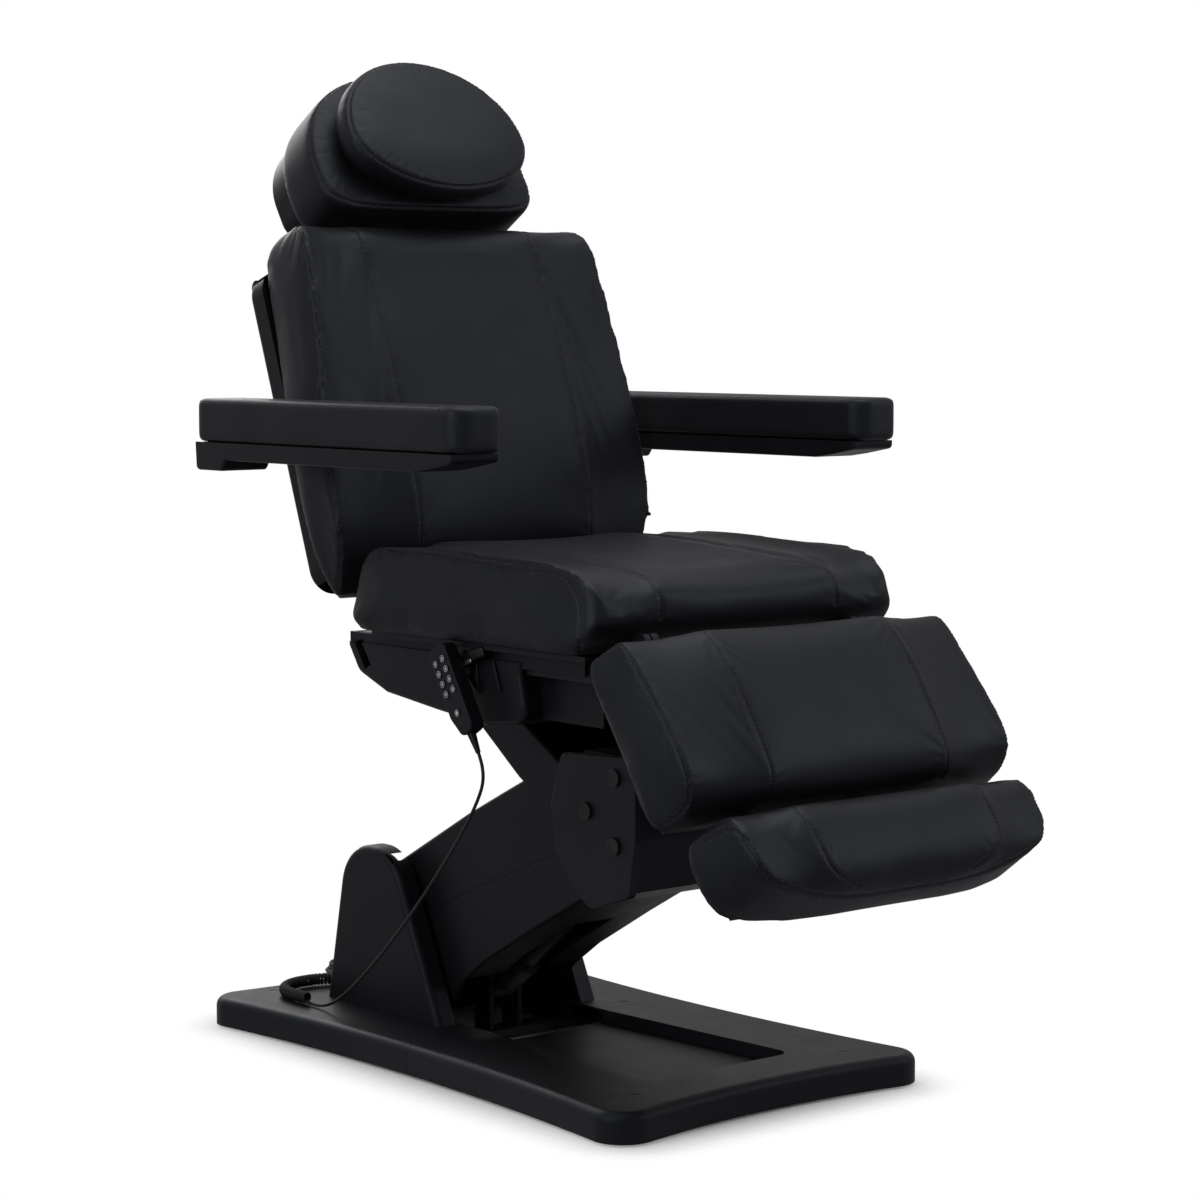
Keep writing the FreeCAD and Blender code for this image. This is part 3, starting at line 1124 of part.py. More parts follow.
def headrest_frame():
    """A back board of the headrest's shape with two hinge ears."""
    front = -dim("head_rear_face").value + dim("seam_gap").value
    wire = dome_outline(dim("head_half").value - 12, dim("head_low").value + 22, dim("head_high").value - 22,
                        dim("head_corner").value - 12, -front)
    board = doc.addObject("Part::Feature", "head_board")
    board.Shape = Part.Face(wire).extrude(Vector(0, dim("head_board_thick").value, 0))
    pin = dim("hinge_pin_radius")
    spot = seen_from("head_hinge", "head_tilt", "head_pin_y", "head_pin_z")
    rear = front + dim("head_board_thick").value
    ears = both_sides(box, dim("ear_inner"), dim("ear_outer"), rear - 12, spot[0] + pin.value * 2, spot[1],
                      spot[1] + pin.value * 8)
    bosses = both_sides(rod_x, *spot, pin * 2, dim("ear_inner"), dim("ear_outer"))
    bore = rod_x(*spot, pin + dim("fit_gap"), -dim("lug_inner"), dim("lug_inner"))
    keep("headrest_frame", lean_head(cut(fuse(board, *ears, *bosses), bore)))


# Armrest trays
def armrest_trays():
    """The moulded tray under each pad, scooped at the front and with a leg at the rear for the axle."""
    low = dim("arm_tray_low")
    block = dim("arm_block_low")
    top = dim("arm_pad_low") - dim("pad_gap") * 2
    front = dim("arm_front") + dim("tray_set_back")
    rear = dim("arm_rear")
    scoop = dim("tray_scoop")
    leg = dim("arm_pivot_y") - dim("arm_pin_radius") * 2
    corners = [(front, top), (front, top - 12), (front + scoop * 0.6, low + 5), (front + scoop, low),
               (leg - 12, low),
               (leg, block), (rear - 7, block), (rear - 4, top)]
    half = dim("arm_half") - 3
    across = dim("arm_across")
    body = prism("armrest_tray", "YZ_Plane", corners, across - half, half * 2)
    round_edges(body, dim("arm_pin_radius") * 0.8, near(corners[1:4] + corners[5:7]))
    sides = [at_level(0, (across - half).value), at_level(0, (across + half).value)]
    roof = at_level(2, top.value)
    round_edges(body, dim("cover_wall"), lambda edge: any(test(edge) for test in sides) and not roof(edge))
    bore = rod_x(dim("arm_pivot_y"), dim("arm_pivot_z"), dim("arm_pin_radius") + dim("fit_gap"), 0,
                 across + 1)
    left = cut(body, bore)
    keep("armrest_tray_left", left)
    keep("armrest_tray_right", mirrored(left))


# Legrest and footrest frames
def legrest_frame():
    """Board behind the calf pad with hinge arms, the motor fork and two guide sleeves."""
    inner = dim("fork_inner")
    outer = dim("fork_outer")
    boss = dim("hinge_boss_radius") * 0.8
    face = -dim("leg_rear_face") + dim("pad_gap")
    rear = face + dim("board_thick")
    half = dim("leg_board_half")
    low = dim("leg_low") + 11
    board = box(-half, half, face, rear, low, dim("leg_high") - 10)
    bar = prism("leg_arm", "YZ_Plane", [(-boss * 0.7, -boss * 0.7), (face, -boss * 1.8), (face, -70),
                                        (rear, -70),
                                        (rear, -boss), (boss * 0.7, boss * 0.7)], inner, outer - inner)
    arm = fuse(bar, rod_x(0, 0, boss, inner, outer))
    lever = fork(-outer, -inner, 0, 0, dim("leg_fork_swing") + dim("leg_tilt"))
    depth = dim("slide_depth")
    sleeve_top = dim("sleeve_top")
    sleeves = both_sides(rod_z, dim("slide_across"), depth, dim("sleeve_radius"), low, sleeve_top)
    webs = both_sides(box, dim("slide_across") - 6, dim("slide_across") + 6, rear - 1, depth, low, sleeve_top)
    bores = both_sides(rod_z, dim("slide_across"), depth, dim("slide_radius") + dim("seam_gap") / 2,
                       low * 2, 0)
    pin_bore = rod_x(0, 0, dim("hinge_pin_radius") + dim("fit_gap"), -dim("lug_inner"), dim("lug_inner"))
    frame = fuse(board, arm, mirrored(arm), lever, *sleeves, *webs)
    keep("legrest_frame", lean_leg(cut(frame, *bores, pin_bore)))


def footrest_frame():
    """Board behind the foot pad on two guide rods that slide in the legrest."""
    face = -dim("foot_rear_face") + dim("pad_gap")
    rear = face + dim("board_thick")
    half = dim("foot_board_half")
    low = dim("foot_low") + 35
    high = dim("foot_high") - 11
    board = box(-half, half, face, rear, low, high)
    depth = dim("slide_depth")
    across = dim("slide_across")
    rods = both_sides(rod_z, across, depth, dim("slide_radius"), low + 15, dim("sleeve_top") - 10)
    blocks = both_sides(box, across - 10, across + 10, rear - 1, depth + dim("slide_radius"), low + 5,
                        high - 18)
    keep("footrest_frame", lean_leg(fuse(board, *rods, *blocks)))


# Handset
def hang(thing):
    """Put a part drawn along the handset in its place."""
    place(thing, 0, dim("handset_top_y"), dim("handset_top_z"), -dim("handset_tilt"))
    return thing


def button_spots():
    """Four rows of two keys and a single key below them, as (y, z) along the handset."""
    spots = []
    for row in range(4):
        height = dim("button_first_row") - dim("button_row_step") * row
        spots.append((dim("button_column"), height))
        spots.append((-dim("button_column"), height))
    spots.append((as_length(0), dim("button_last_row")))
    return spots


def handset():
    half = dim("handset_half")
    low = -dim("handset_long")
    corners = [(-half, low), (half * 0.4, low), (half, low + half * 1.6), (half, 0), (-half, 0)]
    shells = []
    for start, end in (("handset_face", "handset_split"), ("handset_split", "handset_back")):
        body = prism("handset_shell", "YZ_Plane", corners, dim(start), dim(end) - dim(start))
        round_edges(body, half * 0.5, near(corners))
        shells.append(body)
    for body, level in zip(shells, ("handset_face", "handset_back")):
        round_edges(body, half * 0.12, at_level(0, dim(level).value))
    holes = [rod_x(*spot, dim("button_radius") + dim("button_gap"), dim("handset_face") - 1,
                   dim("handset_split") + 1)
             for spot in button_spots()]
    keep("handset_front_shell", hang(cut(shells[0], *holes)))
    relief = doc.addObject("Part::Cone", "relief")
    bind(relief, "Radius1", dim("relief_end_radius"))
    bind(relief, "Radius2", dim("relief_top_radius"))
    bind(relief, "Height", dim("relief_long"))
    place(relief, dim("handset_split"), 0, low - dim("relief_long"))
    hook_z = (dim("hook_low") + dim("hook_high")) / 2
    pin_bore = rod_x(0, hook_z, dim("hook_pin_radius") + dim("fit_gap"), dim("handset_split") + 4, 0)
    keep("handset_back_shell", hang(cut(fuse(shells[1], relief), pin_bore)))
    for number, spot in enumerate(button_spots(), start=1):
        face = dim("handset_face") - dim("button_proud")
        key = rod_x(*spot, dim("button_radius"), face, face + dim("button_deep"))
        keep(f"handset_button_{number}", hang(group(key)))
    wall = -dim("skirt_half") - dim("skirt_bulge")
    plate = box(wall - 6, wall, -half * 0.6, half * 0.6, dim("hook_low"), dim("hook_high"))
    pin = rod_x(0, hook_z, dim("hook_pin_radius"), dim("handset_split") + 6, wall)
    keep("handset_hook", hang(fuse(plate, pin)))


# Cords
def sweep(node, edges, radius):
    """A round tube along joined edges, as a finished part."""
    path = Part.Wire(edges)
    start = edges[0]
    ring = Part.Wire(Part.makeCircle(radius, start.valueAt(start.FirstParameter),
                                     start.tangentAt(start.FirstParameter)))
    pipe = Part.BRepOffsetAPI.MakePipeShell(path)
    pipe.add(ring)
    pipe.build()
    pipe.makeSolid()
    tube = doc.addObject("Part::Feature", node)
    tube.Shape = pipe.shape()
    place(tube)
    expected = math.pi * radius * radius * path.Length
    share = tube.Shape.Volume / expected
    print(f"{node}: {path.Length:.0f} mm long, volume {share:.4f} of section times length")
    return keep(node, tube)


def free_cord(node, points, radius):
    """A tube of straight runs and tangent arcs through a cord's corner points."""
    spots = [Vector(*point) for point in points]
    edges = []
    radii = []
    last_end = spots[0]
    for before, corner, after in zip(spots, spots[1:], spots[2:]):
        into = (corner - before).normalize()
        out = (after - corner).normalize()
        turn = math.acos(max(-1, min(1, into.dot(out))))
        reach = 0.45 * min((corner - before).Length, (after - corner).Length)
        bend = reach / math.tan(turn / 2)
        middle = corner + (out - into).normalize() * bend * (1 / math.cos(turn / 2) - 1)
        arc_start = corner - into * reach
        arc_end = corner + out * reach
        edges.append(Part.LineSegment(last_end, arc_start).toShape())
        edges.append(Part.Arc(arc_start, middle, arc_end).toShape())
        radii.append(bend)
        last_end = arc_end
    edges.append(Part.LineSegment(last_end, spots[-1]).toShape())
    print(f"{node}: bend radii {' '.join(f'{bend:.0f}' for bend in radii)}")
    return sweep(node, edges, radius)


def half_biarc(first, way, last):
    """An arc from first, leaving it along way, to last."""
    chord = last - first
    along = Vector(chord).normalize()
    side = way - along * way.dot(along)
    if side.Length < 1e-6:
        return Part.LineSegment(first, last).toShape()
    angle = math.acos(max(-1, min(1, way.dot(along))))
    middle = (first + last) * 0.5 + side.normalize() * chord.Length / 2 * math.tan(angle / 2)
    return Part.Arc(first, middle, last).toShape()


def biarc(first, way_first, last, way_last):
    """Two arcs that leave first and reach last along the given ways."""
    run = last - first
    slope = run.dot(way_first + way_last)
    bend = 2 * (1 - way_first.dot(way_last))
    square = run.dot(run)
    if bend < 1e-9:
        reach = square / (2 * slope)
    else:
        reach = (math.sqrt(slope * slope + bend * square) - slope) / bend
    joint = (first + last + (way_first - way_last) * reach) * 0.5
    second = half_biarc(last, way_last * -1, joint)
    second.reverse()
    return [half_biarc(first, way_first, joint), second]


def wound_tube(node, spot_at, quarters, radius, lead_in, lead_out):
    """A wound tube through spot_at(quarter turn), with straight ends (far point, way) given at both ends."""
    step = 1e-4
    spots = [lead_in[0], lead_in[0] + lead_in[1] * radius * 2]
    ways = [lead_in[1], lead_in[1]]
    for quarter in quarters:
        spots.append(spot_at(quarter))
        ways.append((spot_at(quarter + step) - spot_at(quarter - step)).normalize())
    spots += [lead_out[0] - lead_out[1] * radius * 2, lead_out[0]]
    ways += [lead_out[1], lead_out[1]]
    edges = []
    for index in range(len(spots) - 1):
        pair = (spots[index], ways[index], spots[index + 1], ways[index + 1])
        straight = index in (0, len(spots) - 2)
        edges += [Part.LineSegment(pair[0], pair[2]).toShape()] if straight else biarc(*pair)
    trail = []
    length = 0
    for edge in edges:
        for share in (0.25, 0.75):
            at = edge.FirstParameter + (edge.LastParameter - edge.FirstParameter) * share
            trail.append((length + edge.Length * share, edge.valueAt(at)))
        length += edge.Length
    gap = min((first[1] - last[1]).Length for first in trail for last in trail
              if last[0] - first[0] > radius * 8) - radius * 2
    print(f"{node}: least gap between turns {gap:.2f} mm")
    return sweep(node, edges, radius)


def handset_cord():
    """Straight part of the handset lead, from the strain relief down to the base."""
    angle = math.radians(dim("handset_tilt").value)
    drop = dim("handset_long").value + dim("relief_long").value
    side = dim("handset_split").value
    start = (side, dim("handset_top_y").value - drop * math.sin(angle),
             dim("handset_top_z").value - drop * math.cos(angle))
    below = (side, start[1] - 18 * math.sin(angle), start[2] - 18 * math.cos(angle))
    end_z = dim("curl_height").value - dim("curl_radius").value
    end = (dim("curl_start_x").value, dim("curl_start_y").value, end_z)
    points = [start, below, (-286, -62, 474), (-281, -46, 450), (-275, -16, 414), (-268, 32, 364),
              (-262, 82, 314.5),
              (-256, 134, 266), (-250, 186, 220), (-244, 238, 177), (-238, 288, 138), (-232, 336, 104),
              (-227, 380, 76),
              (-223, 418, 58), (end[0], end[1] - 22, end_z), end]
    free_cord("handset_cord", points, dim("lead_radius").value)


def handset_cord_curl():
    """Curled part of the handset lead, lying on the base from the straight part to the socket."""
    start = Vector(dim("curl_start_x").value, dim("curl_start_y").value, dim("curl_height").value)
    finish = Vector(dim("curl_socket_x").value, dim("curl_socket_y").value, dim("curl_height").value)
    first_bend = dim("curl_first_bend").value
    last_bend = dim("curl_last_bend").value
    cross = finish.x - start.x - first_bend - last_bend
    rear = finish.y + 4 + last_bend
    legs = [rear - first_bend - start.y, first_bend * math.pi / 2, cross, last_bend * math.pi / 2, 4]
    total = sum(legs)

    def axis_at(length):
        """A point of the axis and the side direction there."""
        if length < legs[0]:
            return start + Vector(0, length, 0), Vector(-1, 0, 0)
        length -= legs[0]
        if length < legs[1]:
            angle = length / first_bend
            side = Vector(-math.cos(angle), math.sin(angle), 0)
            return Vector(start.x + first_bend, rear - first_bend, start.z) + side * first_bend, side
        length -= legs[1]
        if length < legs[2]:
            return Vector(start.x + first_bend + length, rear, start.z), Vector(0, 1, 0)
        length -= legs[2]
        if length < legs[3]:
            angle = length / last_bend
            side = Vector(math.sin(angle), math.cos(angle), 0)
            return Vector(finish.x - last_bend, rear - last_bend, start.z) + side * last_bend, side
        return Vector(finish.x, rear - last_bend - (length - legs[3]), start.z), Vector(1, 0, 0)

    turns = dim("curl_turns").value + 0.5
    radius = dim("curl_radius").value
    wire = dim("lead_radius").value
    lead = wire * 4

    def spot_at(quarter):
        angle = quarter * math.pi / 2 - math.pi / 2
        centre, side = axis_at(lead + (total - lead * 2) * quarter / (turns * 4))
        return centre + side * math.cos(angle) * radius + Vector(0, 0, math.sin(angle) * radius)

    quarters = range(1, int(turns * 4))
    low_end = start - Vector(0, 0, radius)
    high_end = finish + Vector(0, 0, radius)
    wound_tube("handset_cord_curl", spot_at, quarters, wire, (low_end, Vector(0, 1, 0)),
               (high_end, Vector(0, -1, 0)))


def coil_spot(quarter):
    """A point of the mains coil: in and out again in four layers, climbing half a turn between them."""
    layers = (8, 8, 8, 6)
    outer = dim("coil_outer").value
    pitch = dim("coil_pitch").value
    climb = dim("coil_layer").value
    height = dim("coil_bottom").value
    radius = outer
    left = quarter
    for number, length in enumerate(layers):
        way = -1 if number % 2 == 0 else 1
        part = left if number == 0 and left < 0 else max(0, min(left, length))
        radius += way * pitch * part / 4
        left -= length
        if left <= 0:
            break
        height += climb * min(left, 2) / 2
        left -= 2
        if left <= 0:
            break
    angle = quarter * math.pi / 2 - math.pi / 2
    return Vector(dim("coil_x").value + radius * math.cos(angle),
                  dim("coil_y").value + radius * math.sin(angle), height)


def mains_lead():
    """Mains lead from the gland over the rear of the base, its tied coil on the floor, and the plug."""
    radius = dim("mains_radius").value
    floor = dim("coil_bottom").value
    thick = radius * 2
    first = coil_spot(0) - Vector(thick, 0, 0)
    points = [(dim("gland_x").value, dim("gland_end").value, dim("gland_z").value), (12, 574, 95.5),
              (3, 598, 87),
              (-22, 612, 73), (-56, 617, 60), (-92, 624, 53.5), (-121, 638, 51), (-142, 657, 40),
              (-153, 680, 23),
              (-151, 706, 9), (-136, 728, floor + 0.6), (-104, 743, floor), (-56, first.y - 0.8, floor),
              (first.x - 70, first.y, floor), tuple(first)]
    free_cord("mains_cord", points, radius)
    last_quarter = 8 * 3 + 6 + 2 * 3
    last = coil_spot(last_quarter)
    ahead = Vector(1, 0, 0)
    wound_tube("mains_cord_coil", coil_spot, range(1, last_quarter + 1), radius, (first, ahead),
               (last + ahead * dim("plug_lead").value, ahead))
    grip_start = last.x + dim("plug_lead").value
    grip_end = grip_start + dim("plug_grip_long").value
    face = grip_end + dim("plug_flange_long").value
    grip = rod_x(last.y, last.z, dim("plug_grip"), grip_start, grip_end)
    flange = rod_x(last.y, last.z, dim("plug_flange"), grip_end, face)
    pins = [rod_x(last.y + side * dim("plug_pin_across").value, last.z, dim("plug_pin_radius"), face,
                  face + dim("plug_pin_long").value) for side in (-1, 1)]
    keep("mains_plug", fuse(grip, flange, *pins))


lift_motor()
motor("backrest_motor", dim("back_motor_y"), 1)
motor("legrest_motor", dim("leg_motor_y"), -1)
push_rod("backrest_rod", "back_hinge", "back_fork_swing", 1, dim("back_motor_y"))
push_rod("legrest_rod", "leg_hinge", "leg_fork_swing", -1, dim("leg_motor_y"))
seat_frame()
seat_skirt()
seat_cushion()
backrest_cushion()
legrest_cushion()
footrest_cushion()
headrest_cushion()
head_pillow()
armrest_pads()
backrest_frame()
backrest_shell()
headrest_frame()
armrest_trays()
legrest_frame()
footrest_frame()
handset()
handset_cord()
handset_cord_curl()
mains_lead()

# Checks and files
doc.recompute()
for thing in doc.Objects:
    if "Invalid" in thing.State or "Error" in thing.State:
        raise RuntimeError(f"{thing.Label} did not build: {thing.State}")
os.makedirs("parts", exist_ok=True)
for node, thing in NODES.items():
    shape = thing.Shape
    if shape.isNull() or not shape.isValid():
        raise RuntimeError(f"{node} has no valid shape")
    shape.exportStep(f"parts/{node}.step")
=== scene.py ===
"""Podiatry chair: cushions, stitching, cords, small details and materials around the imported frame.

Metres, in the frame of the CAD: X across, the sitter faces -Y, Z up.
"""
import json
import math

import bmesh
import bpy
from mathutils import Matrix, Vector, noise
from mathutils.bvhtree import BVHTree
from mathutils.kdtree import KDTree


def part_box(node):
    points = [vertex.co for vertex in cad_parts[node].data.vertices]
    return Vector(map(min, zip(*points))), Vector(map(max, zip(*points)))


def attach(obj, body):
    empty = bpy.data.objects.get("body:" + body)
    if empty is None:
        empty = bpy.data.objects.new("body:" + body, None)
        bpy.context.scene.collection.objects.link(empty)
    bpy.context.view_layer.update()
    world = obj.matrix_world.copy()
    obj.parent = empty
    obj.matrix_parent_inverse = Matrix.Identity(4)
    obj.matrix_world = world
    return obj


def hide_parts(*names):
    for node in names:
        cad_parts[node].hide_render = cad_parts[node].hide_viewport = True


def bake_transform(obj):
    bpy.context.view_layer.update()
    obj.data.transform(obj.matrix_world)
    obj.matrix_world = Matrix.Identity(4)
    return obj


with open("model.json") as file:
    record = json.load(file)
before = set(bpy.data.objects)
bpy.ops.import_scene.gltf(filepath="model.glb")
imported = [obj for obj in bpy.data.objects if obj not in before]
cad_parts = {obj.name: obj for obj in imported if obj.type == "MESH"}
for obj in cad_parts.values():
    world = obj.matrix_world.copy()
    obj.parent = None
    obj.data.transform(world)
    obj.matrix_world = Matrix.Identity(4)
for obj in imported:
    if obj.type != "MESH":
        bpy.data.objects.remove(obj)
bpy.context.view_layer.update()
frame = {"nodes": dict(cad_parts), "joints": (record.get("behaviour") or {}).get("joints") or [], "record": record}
MM = 0.001
JOINTS = {joint["name"]: joint for joint in frame["joints"]}
SCENE = bpy.context.scene

# Camera at the photograph's viewing angle
CAMERA_SPOT = (-3.02, -3.58, 1.128)
CAMERA_TURN = 40.0
CAMERA_DOWN = 5.05
CAMERA_LENS = 94.0
SENSOR = 36.0


def add_camera():
    data = bpy.data.cameras.new("camera")
    data.lens = CAMERA_LENS
    data.sensor_width = SENSOR
    camera = bpy.data.objects.new("camera", data)
    camera.location = CAMERA_SPOT
    camera.rotation_euler = (math.radians(90 - CAMERA_DOWN), 0, -math.radians(CAMERA_TURN))
    SCENE.collection.objects.link(camera)
    SCENE.camera = camera


# Node helpers for materials
class Shader:
    """A node material under construction, with its Principled shader."""

    def __init__(self, name):
        self.material = bpy.data.materials.new(name)
        self.material.use_nodes = True
        self.nodes = self.material.node_tree.nodes
        self.links = self.material.node_tree.links
        self.surface = self.nodes["Principled BSDF"]
        self.coords = self.nodes.new("ShaderNodeTexCoord").outputs["Object"]

    def set(self, **values):
        """Constant numbers on the shader's own sockets, named with underscores for spaces."""
        for name, value in values.items():
            self.surface.inputs[name.replace("_", " ")].default_value = value

    def noise(self, scale, detail=3.0, roughness=0.5):
        node = self.nodes.new("ShaderNodeTexNoise")
        node.inputs["Scale"].default_value = scale
        node.inputs["Detail"].default_value = detail
        node.inputs["Roughness"].default_value = roughness
        self.links.new(self.coords, node.inputs["Vector"])
        return node.outputs["Fac"]

    def cells(self, scale):
        node = self.nodes.new("ShaderNodeTexVoronoi")
        node.inputs["Scale"].default_value = scale
        self.links.new(self.coords, node.inputs["Vector"])
        return node.outputs["Distance"]

    def ramp(self, value, low, high, first, last):
        """Colours from first, where value is low, to last, where it is high."""
        node = self.nodes.new("ShaderNodeValToRGB")
        node.color_ramp.elements[0].position = low
        node.color_ramp.elements[0].color = (*first, 1)
        node.color_ramp.elements[1].position = high
        node.color_ramp.elements[1].color = (*last, 1)
        self.links.new(value, node.inputs["Fac"])
        return node.outputs["Color"]

    def span(self, value, low, high):
        """A number from low to high as value goes from 0 to 1."""
        node = self.nodes.new("ShaderNodeMapRange")
        node.inputs["To Min"].default_value = low
        node.inputs["To Max"].default_value = high
        self.links.new(value, node.inputs["Value"])
        return node.outputs["Result"]

    def bump(self, height, distance, strength, below=None):
        node = self.nodes.new("ShaderNodeBump")
        node.inputs["Distance"].default_value = distance
        node.inputs["Strength"].default_value = strength
        self.links.new(height, node.inputs["Height"])
        if below is not None:
            self.links.new(below, node.inputs["Normal"])
        return node.outputs["Normal"]

    def link(self, value, socket):
        self.links.new(value, self.surface.inputs[socket])


# The cool tint of the highlights in the photograph
COOL = (0.80, 0.86, 1.0, 1)


def grey(level, blue=1.22):
    """A dark neutral with the photograph's slight blue cast."""
    return (level, level * 1.04, level * blue)


def leatherette():
    """Soft black leatherette: fine pebble grain, faint creases and a satin sheen that varies."""
    shader = Shader("leatherette")
    shader.set(Specular_IOR_Level=0.27, Specular_Tint=COOL)
    shader.link(shader.ramp(shader.noise(9, 5), 0.3, 0.72, grey(0.006), grey(0.0095)), "Base Color")
    shader.link(shader.span(shader.noise(14, 4), 0.40, 0.56), "Roughness")
    creases = shader.bump(shader.noise(55, 4, 0.6), 1.2 * MM, 0.10)
    shader.link(shader.bump(shader.cells(780), 0.35 * MM, 0.16, creases), "Normal")
    return shader.material


def moulded_plastic(name, level, rough, grain_scale, grain_depth):
    """Moulded black plastic with a fine spark-eroded grain and slight patches of shine."""
    shader = Shader(name)
    shader.set(Specular_IOR_Level=0.2, Specular_Tint=COOL)
    shader.link(shader.ramp(shader.noise(7, 4), 0.32, 0.7, grey(level * 0.82), grey(level * 1.15)),
                "Base Color")
    shader.link(shader.span(shader.noise(20, 5), rough - 0.07, rough + 0.08), "Roughness")
    shader.link(shader.bump(shader.noise(grain_scale, 2), grain_depth, 0.25), "Normal")
    return shader.material


def powder_coat():
    """Satin black powder coat with its orange-peel surface."""
    shader = Shader("powder_coat")
    shader.set(Specular_IOR_Level=0.25, Specular_Tint=COOL)
    shader.link(shader.ramp(shader.noise(11, 4), 0.3, 0.7, grey(0.006), grey(0.009)), "Base Color")
    shader.link(shader.span(shader.noise(30, 4), 0.38, 0.50), "Roughness")
    shader.link(shader.bump(shader.noise(420, 2), 0.25 * MM, 0.18), "Normal")
    return shader.material


def black_oxide():
    """Blackened steel of screws, bolts and motors, rubbed a little paler in patches."""
    shader = Shader("black_oxide")
    shader.set(Metallic=0.6, Specular_IOR_Level=0.5)
    shader.link(shader.ramp(shader.noise(60, 5), 0.35, 0.8, grey(0.012), grey(0.03)), "Base Color")
    shader.link(shader.span(shader.noise(90, 4), 0.30, 0.48), "Roughness")
    shader.link(shader.bump(shader.noise(900, 2), 0.1 * MM, 0.15), "Normal")
    return shader.material


def rubber():
    """Matt black rubber and cord sheath, with dust in patches."""
    shader = Shader("rubber")
    shader.set(Specular_IOR_Level=0.3)
    shader.link(shader.ramp(shader.noise(26, 5), 0.35, 0.75, grey(0.009), grey(0.016)), "Base Color")
    shader.link(shader.span(shader.noise(40, 4), 0.48, 0.66), "Roughness")
    shader.link(shader.bump(shader.noise(1300, 2), 0.08 * MM, 0.2), "Normal")
    return shader.material


def bright_steel():
    """Ground steel of rods and shafts, with turning marks."""
    shader = Shader("bright_steel")
    shader.set(Metallic=1.0)
    shader.link(shader.ramp(shader.noise(40, 4), 0.3, 0.7, (0.42, 0.43, 0.45), (0.6, 0.6, 0.62)),
                "Base Color")
    shader.link(shader.span(shader.noise(120, 3), 0.22, 0.36), "Roughness")
    shader.link(shader.bump(shader.noise(1500, 1), 0.05 * MM, 0.15), "Normal")
    return shader.material


def thread():
    """Black sewing thread, a little paler than the cover, with its twist."""
    shader = Shader("thread")
    shader.set(Specular_IOR_Level=0.3, Sheen_Weight=0.15)
    shader.link(shader.ramp(shader.noise(300, 2), 0.3, 0.7, grey(0.016), grey(0.030)), "Base Color")
    shader.link(shader.span(shader.noise(200, 2), 0.5, 0.7), "Roughness")
    shader.link(shader.bump(shader.noise(2500, 1), 0.1 * MM, 0.4), "Normal")
    return shader.material


def printed_white():
    """Slightly worn white print of the key symbols."""
    shader = Shader("printed_white")
    shader.link(shader.ramp(shader.noise(700, 3), 0.25, 0.7, (0.48, 0.5, 0.52), (0.72, 0.73, 0.74)),
                "Base Color")
    shader.link(shader.span(shader.noise(400, 2), 0.45, 0.6), "Roughness")
    shader.link(shader.bump(shader.noise(2000, 1), 0.02 * MM, 0.2), "Normal")
    return shader.material


LEATHER = leatherette()
SHELL = moulded_plastic("moulded_plastic", 0.0075, 0.40, 900, 0.12 * MM)
GRAINED = moulded_plastic("grained_plastic", 0.0085, 0.46, 520, 0.3 * MM)
STEEL = powder_coat()
OXIDE = black_oxide()
RUBBER = rubber()
BRIGHT = bright_steel()
THREAD = thread()
PRINT = printed_white()
SLOT_MATERIALS = {"leatherette": LEATHER, "black_plastic": SHELL, "painted_steel": STEEL,
                  "black_fittings": OXIDE, "rubber": RUBBER, "bright_steel": BRIGHT}
GRAINED_NODES = ("base_cover_front", "base_cover_rear", "stand_cover_left", "stand_cover_right",
                 "stand_rear_panel")


def finish_nodes():
    """Give every CAD node the material of its slot."""
    for subpart in frame["record"]["subparts"]:
        node = subpart["node"]
        chosen = GRAINED if node in GRAINED_NODES else SLOT_MATERIALS[subpart["material_slot"]]
        materials = frame["nodes"][node].data.materials
        materials.clear()
        materials.append(chosen)


# Pieces
def dress(mesh, material, smooth=True):
    """Give a mesh its one material, and smooth or flat shading."""
    mesh.materials.clear()
    mesh.materials.append(material)
    mesh.polygons.foreach_set("use_smooth", [smooth] * len(mesh.polygons))


def add_piece(name, mesh, material, body, smooth=True):
    """Link a new mesh piece that moves with a CAD body."""
    piece = bpy.data.objects.new(name, mesh)
    SCENE.collection.objects.link(piece)
    dress(mesh, material, smooth)
    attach(piece, body)
    return piece


class Lean:
    """The drawing frame of a cushion: u across, v along it and f out of its face."""

    def __init__(self, origin, tilt):
        turn = math.radians(tilt)
        self.origin = Vector(origin)
        self.along = Vector((0, math.sin(turn), math.cos(turn)))
        self.out = Vector((0, -math.cos(turn), math.sin(turn)))

    def at(self, u, v, f):
        """A spot given in millimetres across, along and out."""
        return self.origin + (Vector((u, 0, 0)) + self.along * v + self.out * f) * MM

    def depth(self, spot):
        """How far a spot stands out, in millimetres."""
        return (spot - self.origin).dot(self.out) / MM


# Drawing frames of the cushions, and half the width of the panel down their middle, in millimetres
SEAT = Lean((0, 0, 0.6692), 90)
BACK = Lean(JOINTS["backrest_recline"]["pos_m"], 20)
LEG = Lean(JOINTS["legrest_raise"]["pos_m"], 33.8)
HEAD = Lean((0, 0.486, 1.261), 32)
ARM_ACROSS = 0.385
ARM_LEFT = Lean((ARM_ACROSS, 0, 0.951), 90)
ARM_RIGHT = Lean((-ARM_ACROSS, 0, 0.951), 90)
PANEL = 169


# Seams, in millimetres in the drawing frame of their cushion
def mirrored(line):
    """A seam and its twin on the other side."""
    return [line, [(-u, v, f) for u, v, f in line]]


